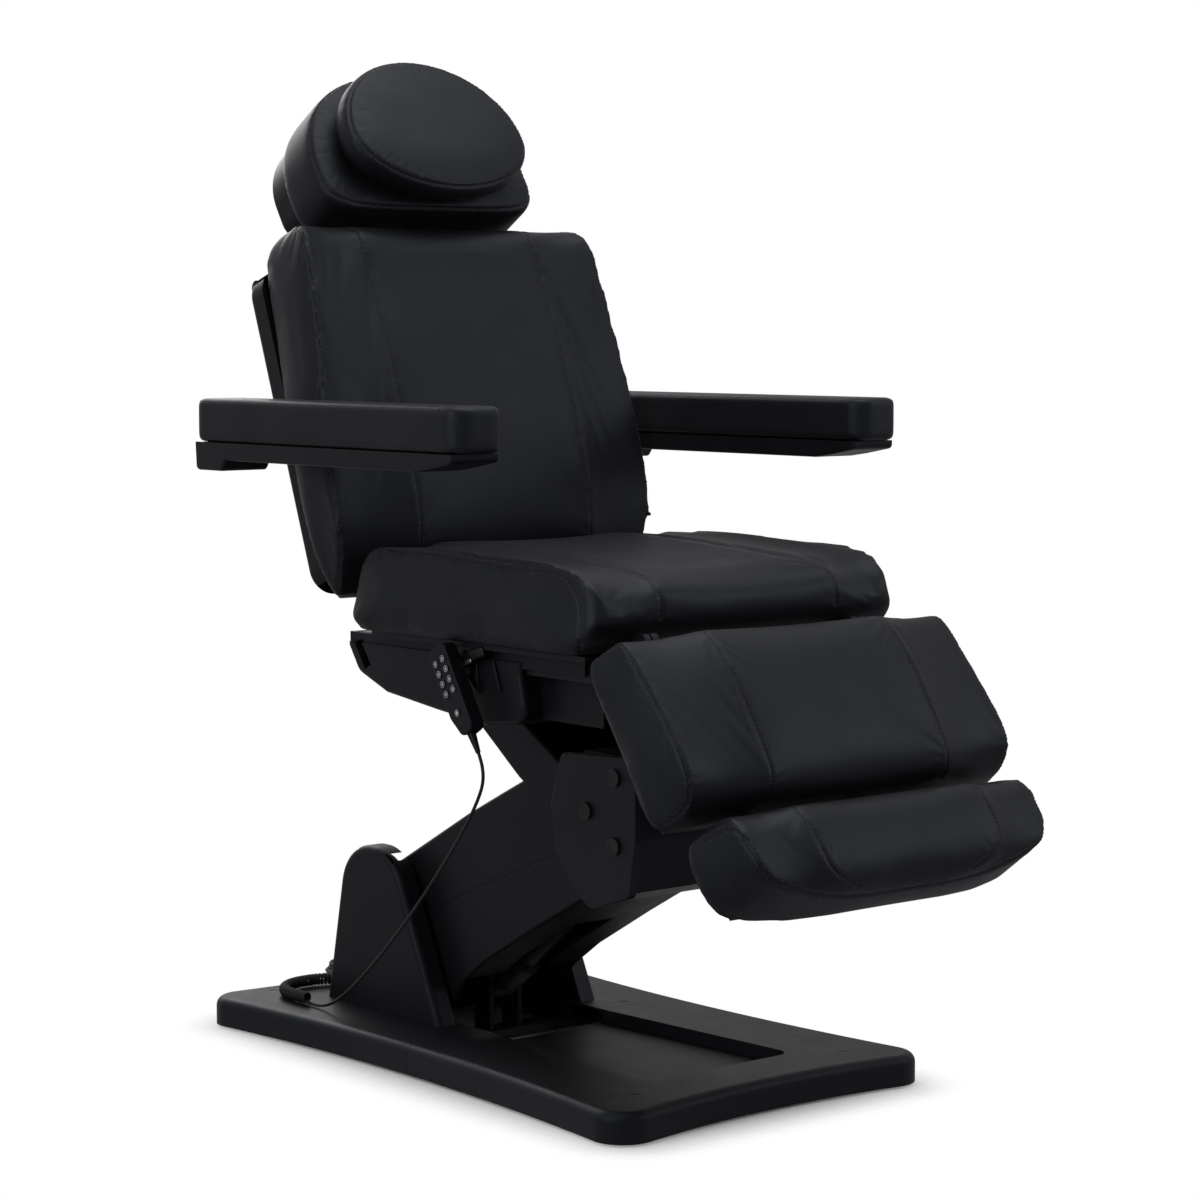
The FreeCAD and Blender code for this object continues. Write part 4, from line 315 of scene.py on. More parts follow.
def smooth_line(points, step=3 * MM):
    """Spots along a smooth curve through points, about step apart."""
    spots = []
    last = len(points) - 1
    for index in range(last):
        before = points[max(index - 1, 0)]
        first, second = points[index], points[index + 1]
        after = points[min(index + 2, last)]
        count = max(2, round((second - first).length / step))
        for number in range(count):
            t = number / count
            spots.append(0.5 * (first * 2 + (second - before) * t
                                + (before * 2 - first * 5 + second * 4 - after) * t * t
                                + (first * 3 - before - second * 3 + after) * t * t * t))
    spots.append(points[-1])
    return spots


def ring(half, low, high, waist, corner, depth, count=40):
    """A line round a head cushion at a depth, as (u, v, f) spots: waist is how far up it is widest."""
    shoulder = low + (high - low) * waist
    spots = []
    for number in range(count + 1):
        angle = 2 * math.pi * number / count
        side, rise = math.cos(angle), math.sin(angle)
        if rise >= 0:
            spots.append((half * side, shoulder + (high - shoulder) * rise, depth))
        else:
            spread = math.copysign(abs(side) ** corner, side)
            drop = abs(rise) ** corner
            spots.append((half * spread, shoulder - (shoulder - low) * drop, depth))
    return spots


BACK_LOW, BACK_HIGH = 22, 600
BACK_LOW_HALF, BACK_HIGH_HALF = 332, 282


def back_edge(v, f, inside):
    """A spot on the edge seam of the backrest, set in from its side, which narrows upward."""
    taper = (BACK_LOW_HALF - BACK_HIGH_HALF) * (v - BACK_LOW) / (BACK_HIGH - BACK_LOW)
    return (BACK_LOW_HALF - taper - inside, v, f)


SEAT_EDGE = [(291, 250, 66), (294, 234, 104), (295, 190, 126), (296, 133, 130), (296, -31, 123),
             (296, -102, 118), (296, -225, 115), (296, -258, 104), (295, -282, 73), (294, -287, 34),
             (294, -286, 4)]
SEAT_PANEL = [(PANEL, 256, 62), (PANEL, 225, 122), (PANEL, 170, 136), (PANEL, 40, 134), (PANEL, -120, 123),
              (PANEL, -248, 114), (PANEL, -290, 104), (PANEL, -314, 80), (PANEL, -318, 50)]
BACK_EDGE = [back_edge(30, 14, 42), back_edge(64, 54, 26), back_edge(107, 82, 13), back_edge(202, 102, 2),
             back_edge(322, 114, -1), back_edge(452, 122, -1), back_edge(540, 124, -1),
             back_edge(578, 116, 2), back_edge(596, 92, 10), (226, 602, 78), (PANEL, 602, 72), (0, 602, 74)]
BACK_PANEL = [(PANEL, 24, 26), (PANEL, 64, 86), (PANEL, 107, 106), (PANEL, 322, 121), (PANEL, 540, 113),
              (PANEL, 582, 108), (PANEL, 598, 82)]
LEG_EDGE = [(312, -22, 8), (309, -24, 44), (311, -34, 68), (312, -62, 77), (313, -150, 88), (313, -230, 92),
            (312, -264, 80), (310, -280, 50), (312, -276, 8)]
LEG_PANEL = [(PANEL, -21, 60), (PANEL, -34, 86), (PANEL, -64, 96), (PANEL, -150, 102), (PANEL, -226, 100),
             (PANEL, -262, 94), (PANEL, -284, 62)]
FOOT_EDGE = [(284, -318, 40), (286, -330, 96), (286, -360, 113), (282, -390, 116), (266, -415, 114),
             (230, -431, 106), (176, -442, 94), (118, -448, 84), (0, -449, 82)]
FOOT_PANEL = [(PANEL, -303, 84), (PANEL, -320, 108), (PANEL, -360, 124), (168, -389, 127), (162, -415, 124),
              (142, -431, 117), (110, -442, 103)]
PAD_EDGE = [(40, 470, 60), (43, 452, 61), (43, 120, 61), (43, -138, 61), (38, -166, 61), (27, -180, 61),
            (14, -185, 61), (0, -186, 61)]
HEAD_RING = ring(208, 5, 261, 0.3, 0.5, 82)
PILLOW_RING = ring(168, 2, 239, 0.42, 1.0, 150)


class Cushion:
    """A cushion's node, body, drawing frame, rear depth, mesh size, smoothing passes, seams and filling; the
    filling is not used.

    A tight one starts from its CAD node and swells between its seams. The others are firm pads.
    """

    def __init__(self, node, body, lean, rear, voxel, ease, seams, fill, tight=True):
        self.node = node
        self.body = body
        self.lean = lean
        self.rear = rear
        self.voxel = voxel * MM
        self.ease = ease
        self.seams = [smooth_line([lean.at(*spot) for spot in line]) for line in seams]
        self.fill = fill
        self.tight = tight
        self.piece = None


CUSHIONS = [
    Cushion("seat_cushion", "seat", SEAT, 0, 6, 14, mirrored(SEAT_EDGE) + mirrored(SEAT_PANEL), 0.85),
    Cushion("backrest_cushion", "backrest", BACK, -14, 6, 14, mirrored(BACK_EDGE) + mirrored(BACK_PANEL),
            0.85),
    Cushion("legrest_cushion", "legrest", LEG, -18, 5, 16, mirrored(LEG_EDGE) + mirrored(LEG_PANEL), 0.85),
    Cushion("footrest_cushion", "footrest", LEG, -8, 5, 30, mirrored(FOOT_EDGE) + mirrored(FOOT_PANEL), 0.85),
    Cushion("headrest_cushion", "headrest", HEAD, -15.2, 5, 20, [HEAD_RING], 0.8),
    Cushion("head_pillow", "headrest", HEAD, 96.4, 4, 20, [PILLOW_RING], 0.75),
    Cushion("armrest_pad_left", "armrest_left", ARM_LEFT, 0, 4, 5, mirrored(PAD_EDGE), 0.9, False),
    Cushion("armrest_pad_right", "armrest_right", ARM_RIGHT, 0, 4, 5, mirrored(PAD_EDGE), 0.9, False),
]
SHRINK = 2.5 * MM
SWELL = 5.5 * MM
PRESSURE = 4.0
CLOTH_FRAMES = 20
REST_DEPTH = 4.0
SEAM_HOLD = 4.5 * MM
SEAM_DEPTH = 2.3 * MM
SEAM_WIDTH = 3.2 * MM
FLAT_SEAM = 0.25
PUCKER_DEPTH = 0.45 * MM
PUCKER_REACH = 16 * MM
PUCKER_SCALE = 70.0


def evaluated_mesh(piece):
    """The piece's mesh with its modifiers applied."""
    return bpy.data.meshes.new_from_object(piece.evaluated_get(bpy.context.evaluated_depsgraph_get()))


def apply_modifiers(piece):
    old = piece.data
    piece.data = evaluated_mesh(piece)
    piece.modifiers.clear()
    bpy.data.meshes.remove(old)


def near_seams(cushion):
    """A tree of the spots of all of a cushion's seams."""
    spots = [spot for line in cushion.seams for spot in line]
    tree = KDTree(len(spots))
    for index, spot in enumerate(spots):
        tree.insert(spot, index)
    tree.balance()
    return tree


def settle_seams(cushion):
    """Lay the seam lines on the cushion's surface."""
    mesh = cushion.piece.data
    tree = BVHTree.FromPolygons([v.co for v in mesh.vertices], [p.vertices for p in mesh.polygons])
    cushion.seams = [[tree.find_nearest(spot)[0] for spot in line] for line in cushion.seams]
    return tree


# Firm armrest pads
PAD_HALF = 45.5 * MM
PAD_ENDS = (-0.189, 0.473)
PAD_LEVELS = (0.949, 1.0145)
PAD_CORNER = 30 * MM
PAD_EDGE_ROUND = 9 * MM


def pad_block(middle):
    """A firm armrest pad: a bar with round corners and round edges, its middle at x."""
    low, high = PAD_LEVELS
    front, rear = PAD_ENDS
    shape = bmesh.new()
    bmesh.ops.create_cube(shape, size=1.0)
    bmesh.ops.scale(shape, vec=(PAD_HALF * 2, rear - front, high - low), verts=shape.verts)
    upright = [edge for edge in shape.edges if abs(edge.verts[0].co.z - edge.verts[1].co.z) > MM]
    bmesh.ops.bevel(shape, geom=upright, offset=PAD_CORNER, segments=10, profile=0.5, affect="EDGES")
    level = [edge for edge in shape.edges if abs(edge.verts[0].co.z - edge.verts[1].co.z) < MM]
    bmesh.ops.bevel(shape, geom=level, offset=PAD_EDGE_ROUND, segments=5, profile=0.5, affect="EDGES")
    bmesh.ops.translate(shape, vec=(middle, (front + rear) / 2, (low + high) / 2), verts=shape.verts)
    mesh = bpy.data.meshes.new("pad_block")
    shape.to_mesh(mesh)
    shape.free()
    return mesh


# Covers
def start_cushion(cushion):
    """A fine mesh to sew: the CAD cushion, shrunken a little and held at its rear and seams, or a pad."""
    if cushion.tight:
        mesh = frame["nodes"][cushion.node].data.copy()
    else:
        mesh = pad_block(cushion.lean.origin.x)
    shrink = SHRINK if cushion.tight else 0
    piece = bpy.data.objects.new(f"{cushion.node}_cover", mesh)
    SCENE.collection.objects.link(piece)
    cushion.piece = piece
    remesh = piece.modifiers.new("remesh", "REMESH")
    remesh.mode = "VOXEL"
    remesh.voxel_size = cushion.voxel
    ease = piece.modifiers.new("ease", "SMOOTH")
    ease.factor = 0.5
    ease.iterations = cushion.ease
    apply_modifiers(piece)
    settle_seams(cushion)
    seams = near_seams(cushion)
    held, places = [], []
    for vertex in piece.data.vertices:
        resting = cushion.lean.depth(vertex.co) < cushion.rear + REST_DEPTH
        if resting or (cushion.tight and seams.find(vertex.co)[2] < SEAM_HOLD):
            held.append(vertex.index)
        places.append(vertex.co if resting else vertex.co - vertex.normal * shrink)
    piece.data.vertices.foreach_set("co", [number for spot in places for number in spot])
    piece.vertex_groups.new(name="held").add(held, 1.0, "REPLACE")


def add_cloth(piece):
    cloth = piece.modifiers.new("cloth", "CLOTH")
    cloth.settings.use_pressure = True
    cloth.settings.uniform_pressure_force = PRESSURE
    cloth.settings.effector_weights.gravity = 0
    cloth.settings.vertex_group_mass = "held"
    cloth.point_cache.frame_end = CLOTH_FRAMES


def swell(cushions):
    """Blow the covers up a little with cloth pressure, and cap how far each point moves."""
    starts = {}
    for cushion in cushions:
        starts[cushion.node] = [vertex.co.copy() for vertex in cushion.piece.data.vertices]
        add_cloth(cushion.piece)
    for number in range(1, CLOTH_FRAMES + 1):
        SCENE.frame_set(number)
    for cushion in cushions:
        apply_modifiers(cushion.piece)
        for vertex, start in zip(cushion.piece.data.vertices, starts[cushion.node]):
            move = vertex.co - start
            if move.length > SWELL:
                vertex.co = start + move * (SWELL / move.length)
    SCENE.frame_set(1)


def sew(cushion):
    """Subdivide a cover once, then draw it in along its seams, with small puckers beside them."""
    piece = cushion.piece
    piece.modifiers.new("finer", "SUBSURF").levels = 1
    apply_modifiers(piece)
    settle_seams(cushion)
    seams = near_seams(cushion)
    pull = 1.0 if cushion.tight else FLAT_SEAM
    places = []
    for vertex in piece.data.vertices:
        distance = seams.find(vertex.co)[2]
        draw = pull * SEAM_DEPTH * math.exp(-(distance / SEAM_WIDTH) ** 2)
        fade = math.exp(-(distance / PUCKER_REACH) ** 2)
        pucker = pull * PUCKER_DEPTH * fade * noise.noise(vertex.co * PUCKER_SCALE)
        places.append(vertex.co - vertex.normal * (draw - pucker))
    piece.data.vertices.foreach_set("co", [number for spot in places for number in spot])
    piece.data.update()


STITCH_LONG = 4.4 * MM
STITCH_STEP = 6.2 * MM
STITCH_RADIUS = 0.55 * MM
STITCH_ROW = 4.2 * MM
STITCH_SIDES = 6


def stitch_shape(centre, along, out):
    """Corners and faces of one stitch, a slim bead that lies along the seam."""
    side = along.cross(out)
    corners = [centre - along * (STITCH_LONG / 2)]
    for place in (-0.3, 0.3):
        for number in range(STITCH_SIDES):
            angle = 2 * math.pi * number / STITCH_SIDES
            round_way = side * math.cos(angle) + out * math.sin(angle)
            corners.append(centre + along * (STITCH_LONG * place) + round_way * STITCH_RADIUS)
    corners.append(centre + along * (STITCH_LONG / 2))
    faces = []
    end = len(corners) - 1
    for number in range(STITCH_SIDES):
        this, following = 1 + number, 1 + (number + 1) % STITCH_SIDES
        faces.append((0, following, this))
        faces.append((this, following, following + STITCH_SIDES, this + STITCH_SIDES))
        faces.append((this + STITCH_SIDES, following + STITCH_SIDES, end))
    return corners, faces


def spaced(line, step):
    """Spots a fixed step apart along a line, each with the line's direction."""
    left = step / 2
    for first, second in zip(line, line[1:]):
        run = second - first
        length = run.length
        if length < 1e-9:
            continue
        while left < length:
            yield first + run * (left / length), run.normalized()
            left += step
        left -= length


def stitch(cushion):
    """Two rows of stitches beside every tight seam of a cushion, or one row along a flat seam."""
    rows = (-1, 1) if cushion.tight else (0,)
    tree = settle_seams(cushion)
    corners, faces = [], []
    for line in cushion.seams:
        for centre, along in spaced(line, STITCH_STEP):
            out = tree.find_nearest(centre)[1]
            side = along.cross(out).normalized()
            for row in rows:
                spot, normal = tree.find_nearest(centre + side * (STITCH_ROW * row))[:2]
                more, sides = stitch_shape(spot, along, normal)
                faces += [[corner + len(corners) for corner in face] for face in sides]
                corners += more
    mesh = bpy.data.meshes.new(f"{cushion.node}_stitching")
    mesh.from_pydata(corners, [], faces)
    add_piece(f"{cushion.node}_stitching", mesh, THREAD, cushion.body)


def make_cushions():
    """Every cushion's cover, swollen where it is soft, then sewn and stitched."""
    for cushion in CUSHIONS:
        start_cushion(cushion)
    swell([cushion for cushion in CUSHIONS if cushion.tight])
    for cushion in CUSHIONS:
        sew(cushion)
        piece = cushion.piece
        dress(piece.data, LEATHER)
        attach(piece, cushion.body)
        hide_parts(cushion.node)
        stitch(cushion)


# Cords
HANDSET_TILT = 31
HANDSET_TOP = (0.035, 0.660)
HANDSET_DROP = 0.170
HANDSET_SPLIT = -0.288
LEAD_RADIUS = 2.5 * MM
LEAD_STRAIGHT = 18 * MM
LEAD_LANDING = 22 * MM
LEAD_ROUTE = [(-286, -62, 474), (-281, -46, 450), (-275, -16, 414), (-268, 32, 364), (-262, 82, 314.5),
              (-256, 134, 266), (-250, 186, 220), (-244, 238, 177), (-238, 288, 138), (-232, 336, 104),
              (-227, 380, 76), (-223, 418, 58)]
CURL_RADIUS = 7 * MM
CURL_TURNS = 40.5
CURL_START = Vector((-0.222, 0.468, 0.0588))
CURL_SOCKET = Vector((-0.082, 0.526, 0.0588))
CURL_FIRST_BEND = 0.070
CURL_LAST_BEND = 0.060
CURL_LAST_RUN = 0.004
CURL_CROSS = CURL_SOCKET.x - CURL_START.x - CURL_FIRST_BEND - CURL_LAST_BEND
CURL_REAR = CURL_SOCKET.y + CURL_LAST_RUN + CURL_LAST_BEND
CURL_FIRST_RUN = CURL_REAR - CURL_FIRST_BEND - CURL_START.y
POINTS_PER_TURN = 12
MAINS_RADIUS = 3.25 * MM
MAINS_ROUTE = [(12, 574, 95.5), (3, 598, 87), (-22, 612, 73), (-56, 617, 60), (-92, 624, 53.5),
               (-121, 638, 51), (-142, 657, 40), (-153, 680, 23), (-151, 706, 9)]
COIL_CENTRE = Vector((0.092, 0.795))
COIL_OUTER = 46 * MM
COIL_PITCH = 8.1 * MM
COIL_LAYER = 6.95 * MM
COIL_BOTTOM = 3.7 * MM
COIL_LAYERS = (8, 8, 8, 6)
COIL_APPROACH = 70 * MM
PLUG_LEAD = 52 * MM
GLAND_END = (0.012, 0.546, 0.096)
TIE_HALF = 7 * MM
TIE_THICK = 1.2 * MM
TIE_BOTTOM = 0.6 * MM
TIE_ROOM_INSIDE = 2 * MM
TIE_ROOM_OUTSIDE = 2.5 * MM
TIE_ROOM_ABOVE = 1.5 * MM


def cord_curve(name, points, radius):
    """One smooth open NURBS spline with the route's points as its control points."""
    data = bpy.data.curves.new(name, "CURVE")
    data.dimensions = "3D"
    data.bevel_depth = radius
    data.bevel_resolution = 4
    spline = data.splines.new("NURBS")
    spline.points.add(len(points) - 1)
    for slot, point in zip(spline.points, points):
        slot.co = (*point, 1)
    spline.order_u = 3
    spline.use_endpoint_u = True
    spline.resolution_u = 6
    curve = bpy.data.objects.new(name, data)
    SCENE.collection.objects.link(curve)
    return curve


def centre_line(curve):
    """The points of a cord's own spline, read from the curve without its bevel."""
    radius = curve.data.bevel_depth
    curve.data.bevel_depth = 0
    bpy.context.view_layer.update()
    mesh = evaluated_mesh(curve)
    curve.data.bevel_depth = radius
    bpy.context.view_layer.update()
    points = [vertex.co.copy() for vertex in mesh.vertices]
    bpy.data.meshes.remove(mesh)
    return points


def path_length(points):
    return sum((second - first).length for first, second in zip(points, points[1:]))


def curl_axis(length):
    """A spot on the axis of the curled part, and the sideways direction there."""
    quarter = math.pi / 2
    if length < CURL_FIRST_RUN:
        return CURL_START + Vector((0, length, 0)), Vector((-1, 0, 0))
    length -= CURL_FIRST_RUN
    if length < CURL_FIRST_BEND * quarter:
        angle = length / CURL_FIRST_BEND
        side = Vector((-math.cos(angle), math.sin(angle), 0))
        centre = Vector((CURL_START.x + CURL_FIRST_BEND, CURL_REAR - CURL_FIRST_BEND, CURL_START.z))
        return centre + side * CURL_FIRST_BEND, side
    length -= CURL_FIRST_BEND * quarter
    if length < CURL_CROSS:
        spot = Vector((CURL_START.x + CURL_FIRST_BEND + length, CURL_REAR, CURL_START.z))
        return spot, Vector((0, 1, 0))
    length -= CURL_CROSS
    if length < CURL_LAST_BEND * quarter:
        angle = length / CURL_LAST_BEND
        side = Vector((math.sin(angle), math.cos(angle), 0))
        centre = Vector((CURL_SOCKET.x - CURL_LAST_BEND, CURL_REAR - CURL_LAST_BEND, CURL_START.z))
        return centre + side * CURL_LAST_BEND, side
    left = length - CURL_LAST_BEND * quarter
    return Vector((CURL_SOCKET.x, CURL_REAR - CURL_LAST_BEND - left, CURL_START.z)), Vector((1, 0, 0))


def curl_points():
    """The helix round the axis of the curled part, and its straight end at the socket."""
    bends = (CURL_FIRST_BEND + CURL_LAST_BEND) * math.pi / 2
    total = CURL_FIRST_RUN + CURL_CROSS + CURL_LAST_RUN + bends
    lead = LEAD_RADIUS * 4
    steps = int(CURL_TURNS * POINTS_PER_TURN)
    # The spline runs inside its control points, so these stand out a little further than the curl
    reach = CURL_RADIUS / (0.75 + 0.25 * math.cos(2 * math.pi / POINTS_PER_TURN))
    points = []
    for number in range(2, steps - 1):
        angle = 2 * math.pi * number / POINTS_PER_TURN - math.pi / 2
        centre, side = curl_axis(lead + (total - lead * 2) * number / steps)
        points.append(centre + side * (math.cos(angle) * reach) + Vector((0, 0, math.sin(angle) * reach)))
    top = CURL_SOCKET + Vector((0, 0, CURL_RADIUS))
    points += [top + Vector((0, LEAD_RADIUS * 2, 0)), top]
    return points


def handset_lead():
    """The handset's lead: the run down to the base, and its curled part lying there."""
    turn = math.radians(HANDSET_TILT)
    way = Vector((0, -math.sin(turn), -math.cos(turn)))
    start = Vector((HANDSET_SPLIT, *HANDSET_TOP)) + way * HANDSET_DROP
    low = CURL_START - Vector((0, 0, CURL_RADIUS))
    points = [start, start + way * LEAD_STRAIGHT] + [Vector(spot) * MM for spot in LEAD_ROUTE]
    points += [low - Vector((0, LEAD_LANDING, 0)), low, low + Vector((0, LEAD_RADIUS * 2, 0))]
    points += curl_points()
    curve = cord_curve("handset_lead_line", points, LEAD_RADIUS)
    path = centre_line(curve)
    mesh = evaluated_mesh(curve)
    bpy.data.objects.remove(curve)
    lead = bpy.data.objects.new("handset_lead", mesh)
    SCENE.collection.objects.link(lead)
    dress(mesh, RUBBER)
    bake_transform(lead)
    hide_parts("handset_cord", "handset_cord_curl")
    path_length(path)


def coil_spot(quarter):
    """A point of the mains coil, in quarter turns along it: four layers, with half a turn's climb between."""
    height = COIL_BOTTOM
    radius = COIL_OUTER
    left = quarter
    for number, length in enumerate(COIL_LAYERS):
        way = -1 if number % 2 == 0 else 1
        radius += way * COIL_PITCH * min(left, length) / 4
        left -= length
        if left <= 0:
            break
        height += COIL_LAYER * min(left, 2) / 2
        left -= 2
        if left <= 0:
            break
    angle = quarter * math.pi / 2 - math.pi / 2
    return Vector((COIL_CENTRE.x + radius * math.cos(angle), COIL_CENTRE.y + radius * math.sin(angle),
                   height))


def mains_lead():
    """The mains lead: over the rear of the base, across the floor and into its tied coil."""
    first = coil_spot(0) - Vector((MAINS_RADIUS * 2, 0, 0))
    floor = COIL_BOTTOM / MM
    landing = [(-136, 728, floor + 0.6), (-104, 743, floor), (-56, first.y / MM - 0.8, floor)]
    points = [Vector(GLAND_END)] + [Vector(spot) * MM for spot in MAINS_ROUTE + landing]
    points += [first - Vector((COIL_APPROACH, 0, 0)), first]
    last_quarter = sum(COIL_LAYERS) + 2 * (len(COIL_LAYERS) - 1)
    steps = last_quarter * POINTS_PER_TURN // 4
    points += [coil_spot(number * 4 / POINTS_PER_TURN) for number in range(1, steps + 1)]
    last = coil_spot(last_quarter)
    points.append(last + Vector((PLUG_LEAD, 0, 0)))
    lead = cord_curve("mains_lead", points, MAINS_RADIUS)
    lead.data.materials.append(RUBBER)
    length = path_length(centre_line(lead))
    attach(lead, "base")
    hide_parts("mains_cord", "mains_cord_coil")
    coil_tie(last)


def coil_tie(top):
    """The strap that holds the coil together, a flat loop round all its turns on one side."""
    low, high = TIE_BOTTOM, top.z + MAINS_RADIUS + TIE_ROOM_ABOVE
    inner = COIL_OUTER - COIL_PITCH * 2 - MAINS_RADIUS - TIE_ROOM_INSIDE
    outer = COIL_OUTER + MAINS_RADIUS + TIE_ROOM_OUTSIDE
    corners, faces = [], []
    for y in (-TIE_HALF, TIE_HALF):
        for grow in (0, TIE_THICK):
            for across, height in ((inner - grow, low - grow / 3), (outer + grow, low - grow / 3),
                                   (outer + grow, high + grow), (inner - grow, high + grow)):
                corners.append((COIL_CENTRE.x + across, COIL_CENTRE.y + y, height))
    for number in range(4):
        following = (number + 1) % 4
        faces.append((number, following, following + 4, number + 4))
        faces.append((number + 8, number + 12, following + 12, following + 8))
        faces.append((number, number + 8, following + 8, following))
        faces.append((number + 4, following + 4, following + 12, number + 12))
    mesh = bpy.data.meshes.new("coil_tie")
    mesh.from_pydata(corners, [], faces)
    return add_piece("coil_tie", mesh, RUBBER, "base", smooth=False)


# Handset holder on the skirt
SKIRT_FACE = -0.255
HOLDER_ARM = ((0.042, 0.630), (-0.041, 0.659))
HOLDER_ARM_SIZE = (15 * MM, 17 * MM)
HOLDER_CLIP = ((0.012, 0.634), (-0.016, 0.643))
HOLDER_CLIP_SIZE = (6 * MM, 3 * MM)
HOLDER_RIBS = (((0.024, 0.629), (-0.013, 0.596)), ((-0.010, 0.637), (-0.015, 0.595)),
               ((-0.049, 0.644), (-0.066, 0.601)))
HOLDER_RIB_SIZE = (4 * MM, 6 * MM)


def add_block(name, ends, side, size, bevel, material):
    """A bar with rounded edges on the skirt's right face; ends are (y, z) and side is its middle's x."""
    first, last = [Vector((side, *spot)) for spot in ends]
    along = (last - first).normalized()
    out = Vector((-1, 0, 0))
    turn = Matrix((along, out.cross(along), out)).transposed().to_4x4()
    shape = bmesh.new()
    bmesh.ops.create_cube(shape, size=1.0)
    bmesh.ops.scale(shape, vec=((last - first).length, *size), verts=shape.verts)
    bmesh.ops.bevel(shape, geom=shape.edges, offset=bevel, segments=3, profile=0.5, affect="EDGES")
    bmesh.ops.transform(shape, matrix=Matrix.Translation((first + last) / 2) @ turn, verts=shape.verts)
    mesh = bpy.data.meshes.new(name)
    shape.to_mesh(mesh)
    shape.free()
    add_piece(name, mesh, material, "seat")


def handset_holder():
    """The hook's arm up to the seat, its bright clip, and the ribs of the pocket below."""
    add_block("holder_arm", HOLDER_ARM, SKIRT_FACE - 8 * MM, HOLDER_ARM_SIZE, 3 * MM, OXIDE)
    add_block("holder_clip", HOLDER_CLIP, SKIRT_FACE - 17 * MM, HOLDER_CLIP_SIZE, 1.2 * MM, BRIGHT)
    for number, ends in enumerate(HOLDER_RIBS, start=1):
        add_block(f"holder_rib_{number}", ends, SKIRT_FACE - 1.5 * MM, HOLDER_RIB_SIZE, 1.5 * MM, SHELL)


# Handset symbols
SYMBOL_HALF = 2.9 * MM
SYMBOL_THICK = 0.12 * MM
OUTLINE_RADII = (4.9 * MM, 4.3 * MM)
OUTLINE_SIDES = 20
KEYS = 9
STOP_KEY = 9
ARROW = [(-0.9, -0.1), (0.9, -0.1), (0, 1.0)]
BAR = [(-0.9, -0.75), (0.9, -0.75), (0.9, -0.4), (-0.9, -0.4)]
DISC = [(math.cos(k * math.pi / 8), math.sin(k * math.pi / 8)) for k in range(16)]


def key_symbol(number):
    """A plain printed arrow and bar on a key, or a disc on the stop key, in a thin printed ring."""
    node = f"handset_button_{number}"
    low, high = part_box(node)
    turn = math.radians(HANDSET_TILT)
    across = Vector((0, math.cos(turn), -math.sin(turn)))
    upward = Vector((0, math.sin(turn), math.cos(turn)))
    centre = Vector((low.x, (low.y + high.y) / 2, (low.z + high.z) / 2))
    point = 1 if number % 2 == 0 else -1
    shapes = [DISC] if number == STOP_KEY else [ARROW, BAR]
    corners, faces = [], []
    for shape in shapes:
        first = len(corners)
        for level in (-SYMBOL_THICK, SYMBOL_THICK):
            for u, v in shape:
                spot = centre + (across * u + upward * (v * point)) * SYMBOL_HALF
                corners.append(spot + Vector((level, 0, 0)))
        count = len(shape)
        faces.append([first + k for k in range(count)])
        faces.append([first + count + k for k in reversed(range(count))])
        for k in range(count):
            following = (k + 1) % count
            faces.append([first + k, first + count + k, first + count + following, first + following])
    first = len(corners)
    for k in range(OUTLINE_SIDES):
        angle = 2 * math.pi * k / OUTLINE_SIDES
        way = across * math.cos(angle) + upward * math.sin(angle)
        corners += [centre + way * radius - Vector((SYMBOL_THICK, 0, 0)) for radius in OUTLINE_RADII]
        this, following = first + 2 * k, first + 2 * ((k + 1) % OUTLINE_SIDES)
        faces.append([this, following, following + 1, this + 1])
    mesh = bpy.data.meshes.new(f"key_symbol_{number}")
    mesh.from_pydata(corners, [], faces)
    add_piece(f"key_symbol_{number}", mesh, PRINT, node, smooth=False)


# Stage: floor, light and background
FLOOR_HALF = 30.0
FLOOR_COLOUR = (0.90, 0.90, 0.91)
FLOOR_MIDDLE = (0, 0.13, 0)
FLOOR_PATCH = (0.24, 0.46, 0)
FLOOR_FADE = (0.0, 0.14)


def floor_fade(nodes, links):
    """0 on the patch of floor round the base, rising smoothly to 1 a little way off it."""
    spot = nodes.new("ShaderNodeTexCoord").outputs["Object"]
    for operation, other in (("SUBTRACT", FLOOR_MIDDLE), ("ABSOLUTE", None), ("SUBTRACT", FLOOR_PATCH),
                             ("MAXIMUM", (0, 0, 0))):
        step = nodes.new("ShaderNodeVectorMath")
        step.operation = operation
        links.new(spot, step.inputs[0])
        if other is not None:
            step.inputs[1].default_value = other
        spot = step.outputs["Vector"]
    distance = nodes.new("ShaderNodeVectorMath")
    distance.operation = "LENGTH"
    links.new(spot, distance.inputs[0])
    fade = nodes.new("ShaderNodeMapRange")
    fade.interpolation_type = "SMOOTHSTEP"
    fade.inputs["From Min"].default_value, fade.inputs["From Max"].default_value = FLOOR_FADE
    links.new(distance.outputs["Value"], fade.inputs["Value"])
    return fade.outputs["Result"]


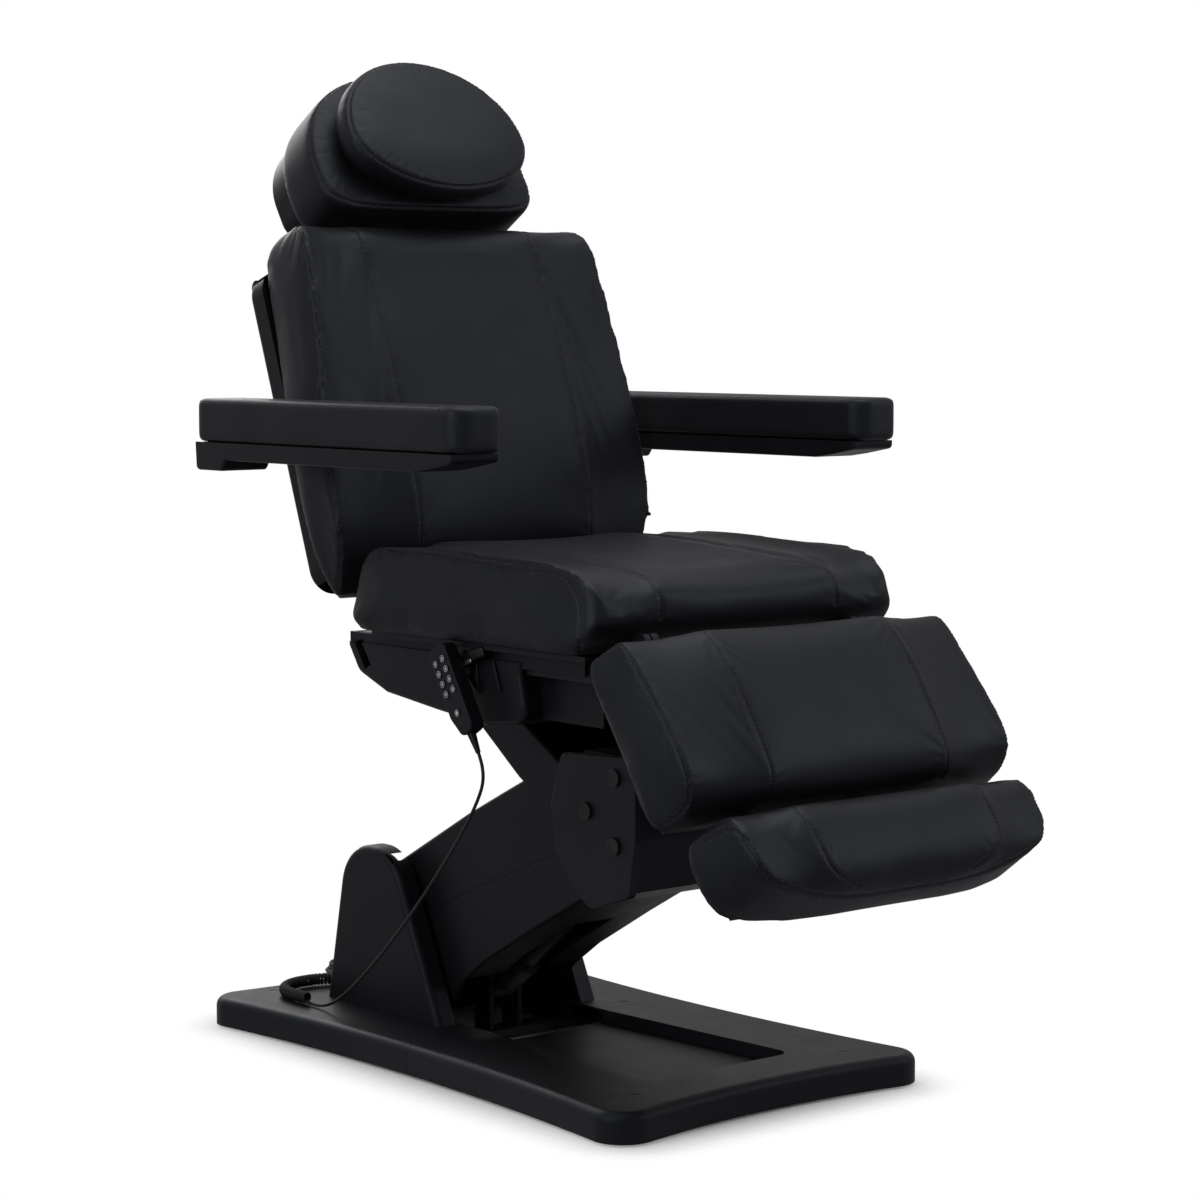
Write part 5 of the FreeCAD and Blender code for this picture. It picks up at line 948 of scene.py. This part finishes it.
def add_floor():
    """A pale floor that shows the shadow close to the base and clears to the white around it."""
    mesh = bpy.data.meshes.new("floor")
    side = FLOOR_HALF
    mesh.from_pydata([(-side, -side, 0), (side, -side, 0), (side, side, 0), (-side, side, 0)], [],
                     [(0, 1, 2, 3)])
    floor = bpy.data.objects.new("floor", mesh)
    SCENE.collection.objects.link(floor)
    material = bpy.data.materials.new("floor")
    material.use_nodes = True
    nodes, links = material.node_tree.nodes, material.node_tree.links
    nodes.clear()
    matt = nodes.new("ShaderNodeBsdfDiffuse")
    matt.inputs["Color"].default_value = (*FLOOR_COLOUR, 1)
    clear = nodes.new("ShaderNodeBsdfTransparent")
    mix = nodes.new("ShaderNodeMixShader")
    links.new(floor_fade(nodes, links), mix.inputs["Fac"])
    links.new(matt.outputs["BSDF"], mix.inputs[1])
    links.new(clear.outputs["BSDF"], mix.inputs[2])
    out = nodes.new("ShaderNodeOutputMaterial")
    links.new(mix.outputs["Shader"], out.inputs["Surface"])
    mesh.materials.append(material)


STUDIO_LEVEL = 0.5
STUDIO_PALE_WAY = (0.1, 0.55, 0.6)
STUDIO_DIM = (0.5, 0.5, 0.52, 1)
STUDIO_PALE_FROM = 0.75


def add_world():
    """White to the camera; to everything else a studio, palest behind and above the chair."""
    world = bpy.data.worlds.new("studio")
    world.use_nodes = True
    SCENE.world = world
    nodes, links = world.node_tree.nodes, world.node_tree.links
    nodes.clear()
    coords = nodes.new("ShaderNodeTexCoord")
    slope = nodes.new("ShaderNodeVectorMath")
    slope.operation = "DOT_PRODUCT"
    slope.inputs[1].default_value = STUDIO_PALE_WAY
    links.new(coords.outputs["Generated"], slope.inputs[0])
    ramp = nodes.new("ShaderNodeValToRGB")
    ramp.color_ramp.elements[0].position = 0.0
    ramp.color_ramp.elements[0].color = STUDIO_DIM
    ramp.color_ramp.elements[1].position = STUDIO_PALE_FROM
    ramp.color_ramp.elements[1].color = (1, 1, 1, 1)
    links.new(slope.outputs["Value"], ramp.inputs["Fac"])
    studio = nodes.new("ShaderNodeBackground")
    studio.inputs["Strength"].default_value = STUDIO_LEVEL
    links.new(ramp.outputs["Color"], studio.inputs["Color"])
    white = nodes.new("ShaderNodeBackground")
    white.inputs["Color"].default_value = (1, 1, 1, 1)
    rays = nodes.new("ShaderNodeLightPath")
    seen = nodes.new("ShaderNodeMath")
    seen.operation = "MAXIMUM"
    links.new(rays.outputs["Is Camera Ray"], seen.inputs[0])
    links.new(rays.outputs["Is Transmission Ray"], seen.inputs[1])
    mix = nodes.new("ShaderNodeMixShader")
    links.new(seen.outputs["Value"], mix.inputs["Fac"])
    links.new(studio.outputs["Background"], mix.inputs[1])
    links.new(white.outputs["Background"], mix.inputs[2])
    out = nodes.new("ShaderNodeOutputWorld")
    links.new(mix.outputs["Shader"], out.inputs["Surface"])


def add_softbox(name, spot, target, width, height, watts):
    data = bpy.data.lights.new(name, "AREA")
    data.shape = "RECTANGLE"
    data.size = width
    data.size_y = height
    data.energy = watts
    lamp = bpy.data.objects.new(name, data)
    lamp.location = spot
    lamp.rotation_mode = "QUATERNION"
    lamp.rotation_quaternion = (Vector(target) - Vector(spot)).to_track_quat("-Z", "Y")
    SCENE.collection.objects.link(lamp)


def add_lights():
    middle = (0, 0, 0.8)
    add_softbox("overhead", (0.2, -0.3, 3.6), (0, 0, 0.5), 2.6, 2.6, 46)
    add_softbox("left", (-3.4, -0.4, 1.9), middle, 1.6, 2.4, 28)
    add_softbox("right", (2.8, -2.6, 2.2), middle, 1.6, 2.2, 18)
    add_softbox("behind", (0.8, 3.4, 2.2), middle, 2.2, 2.0, 40)


SCENE.view_settings.view_transform = "Standard"
add_camera()
mains_lead()
handset_lead()
finish_nodes()
make_cushions()
handset_holder()
for key in range(1, KEYS + 1):
    key_symbol(key)
add_floor()
add_world()
add_lights()
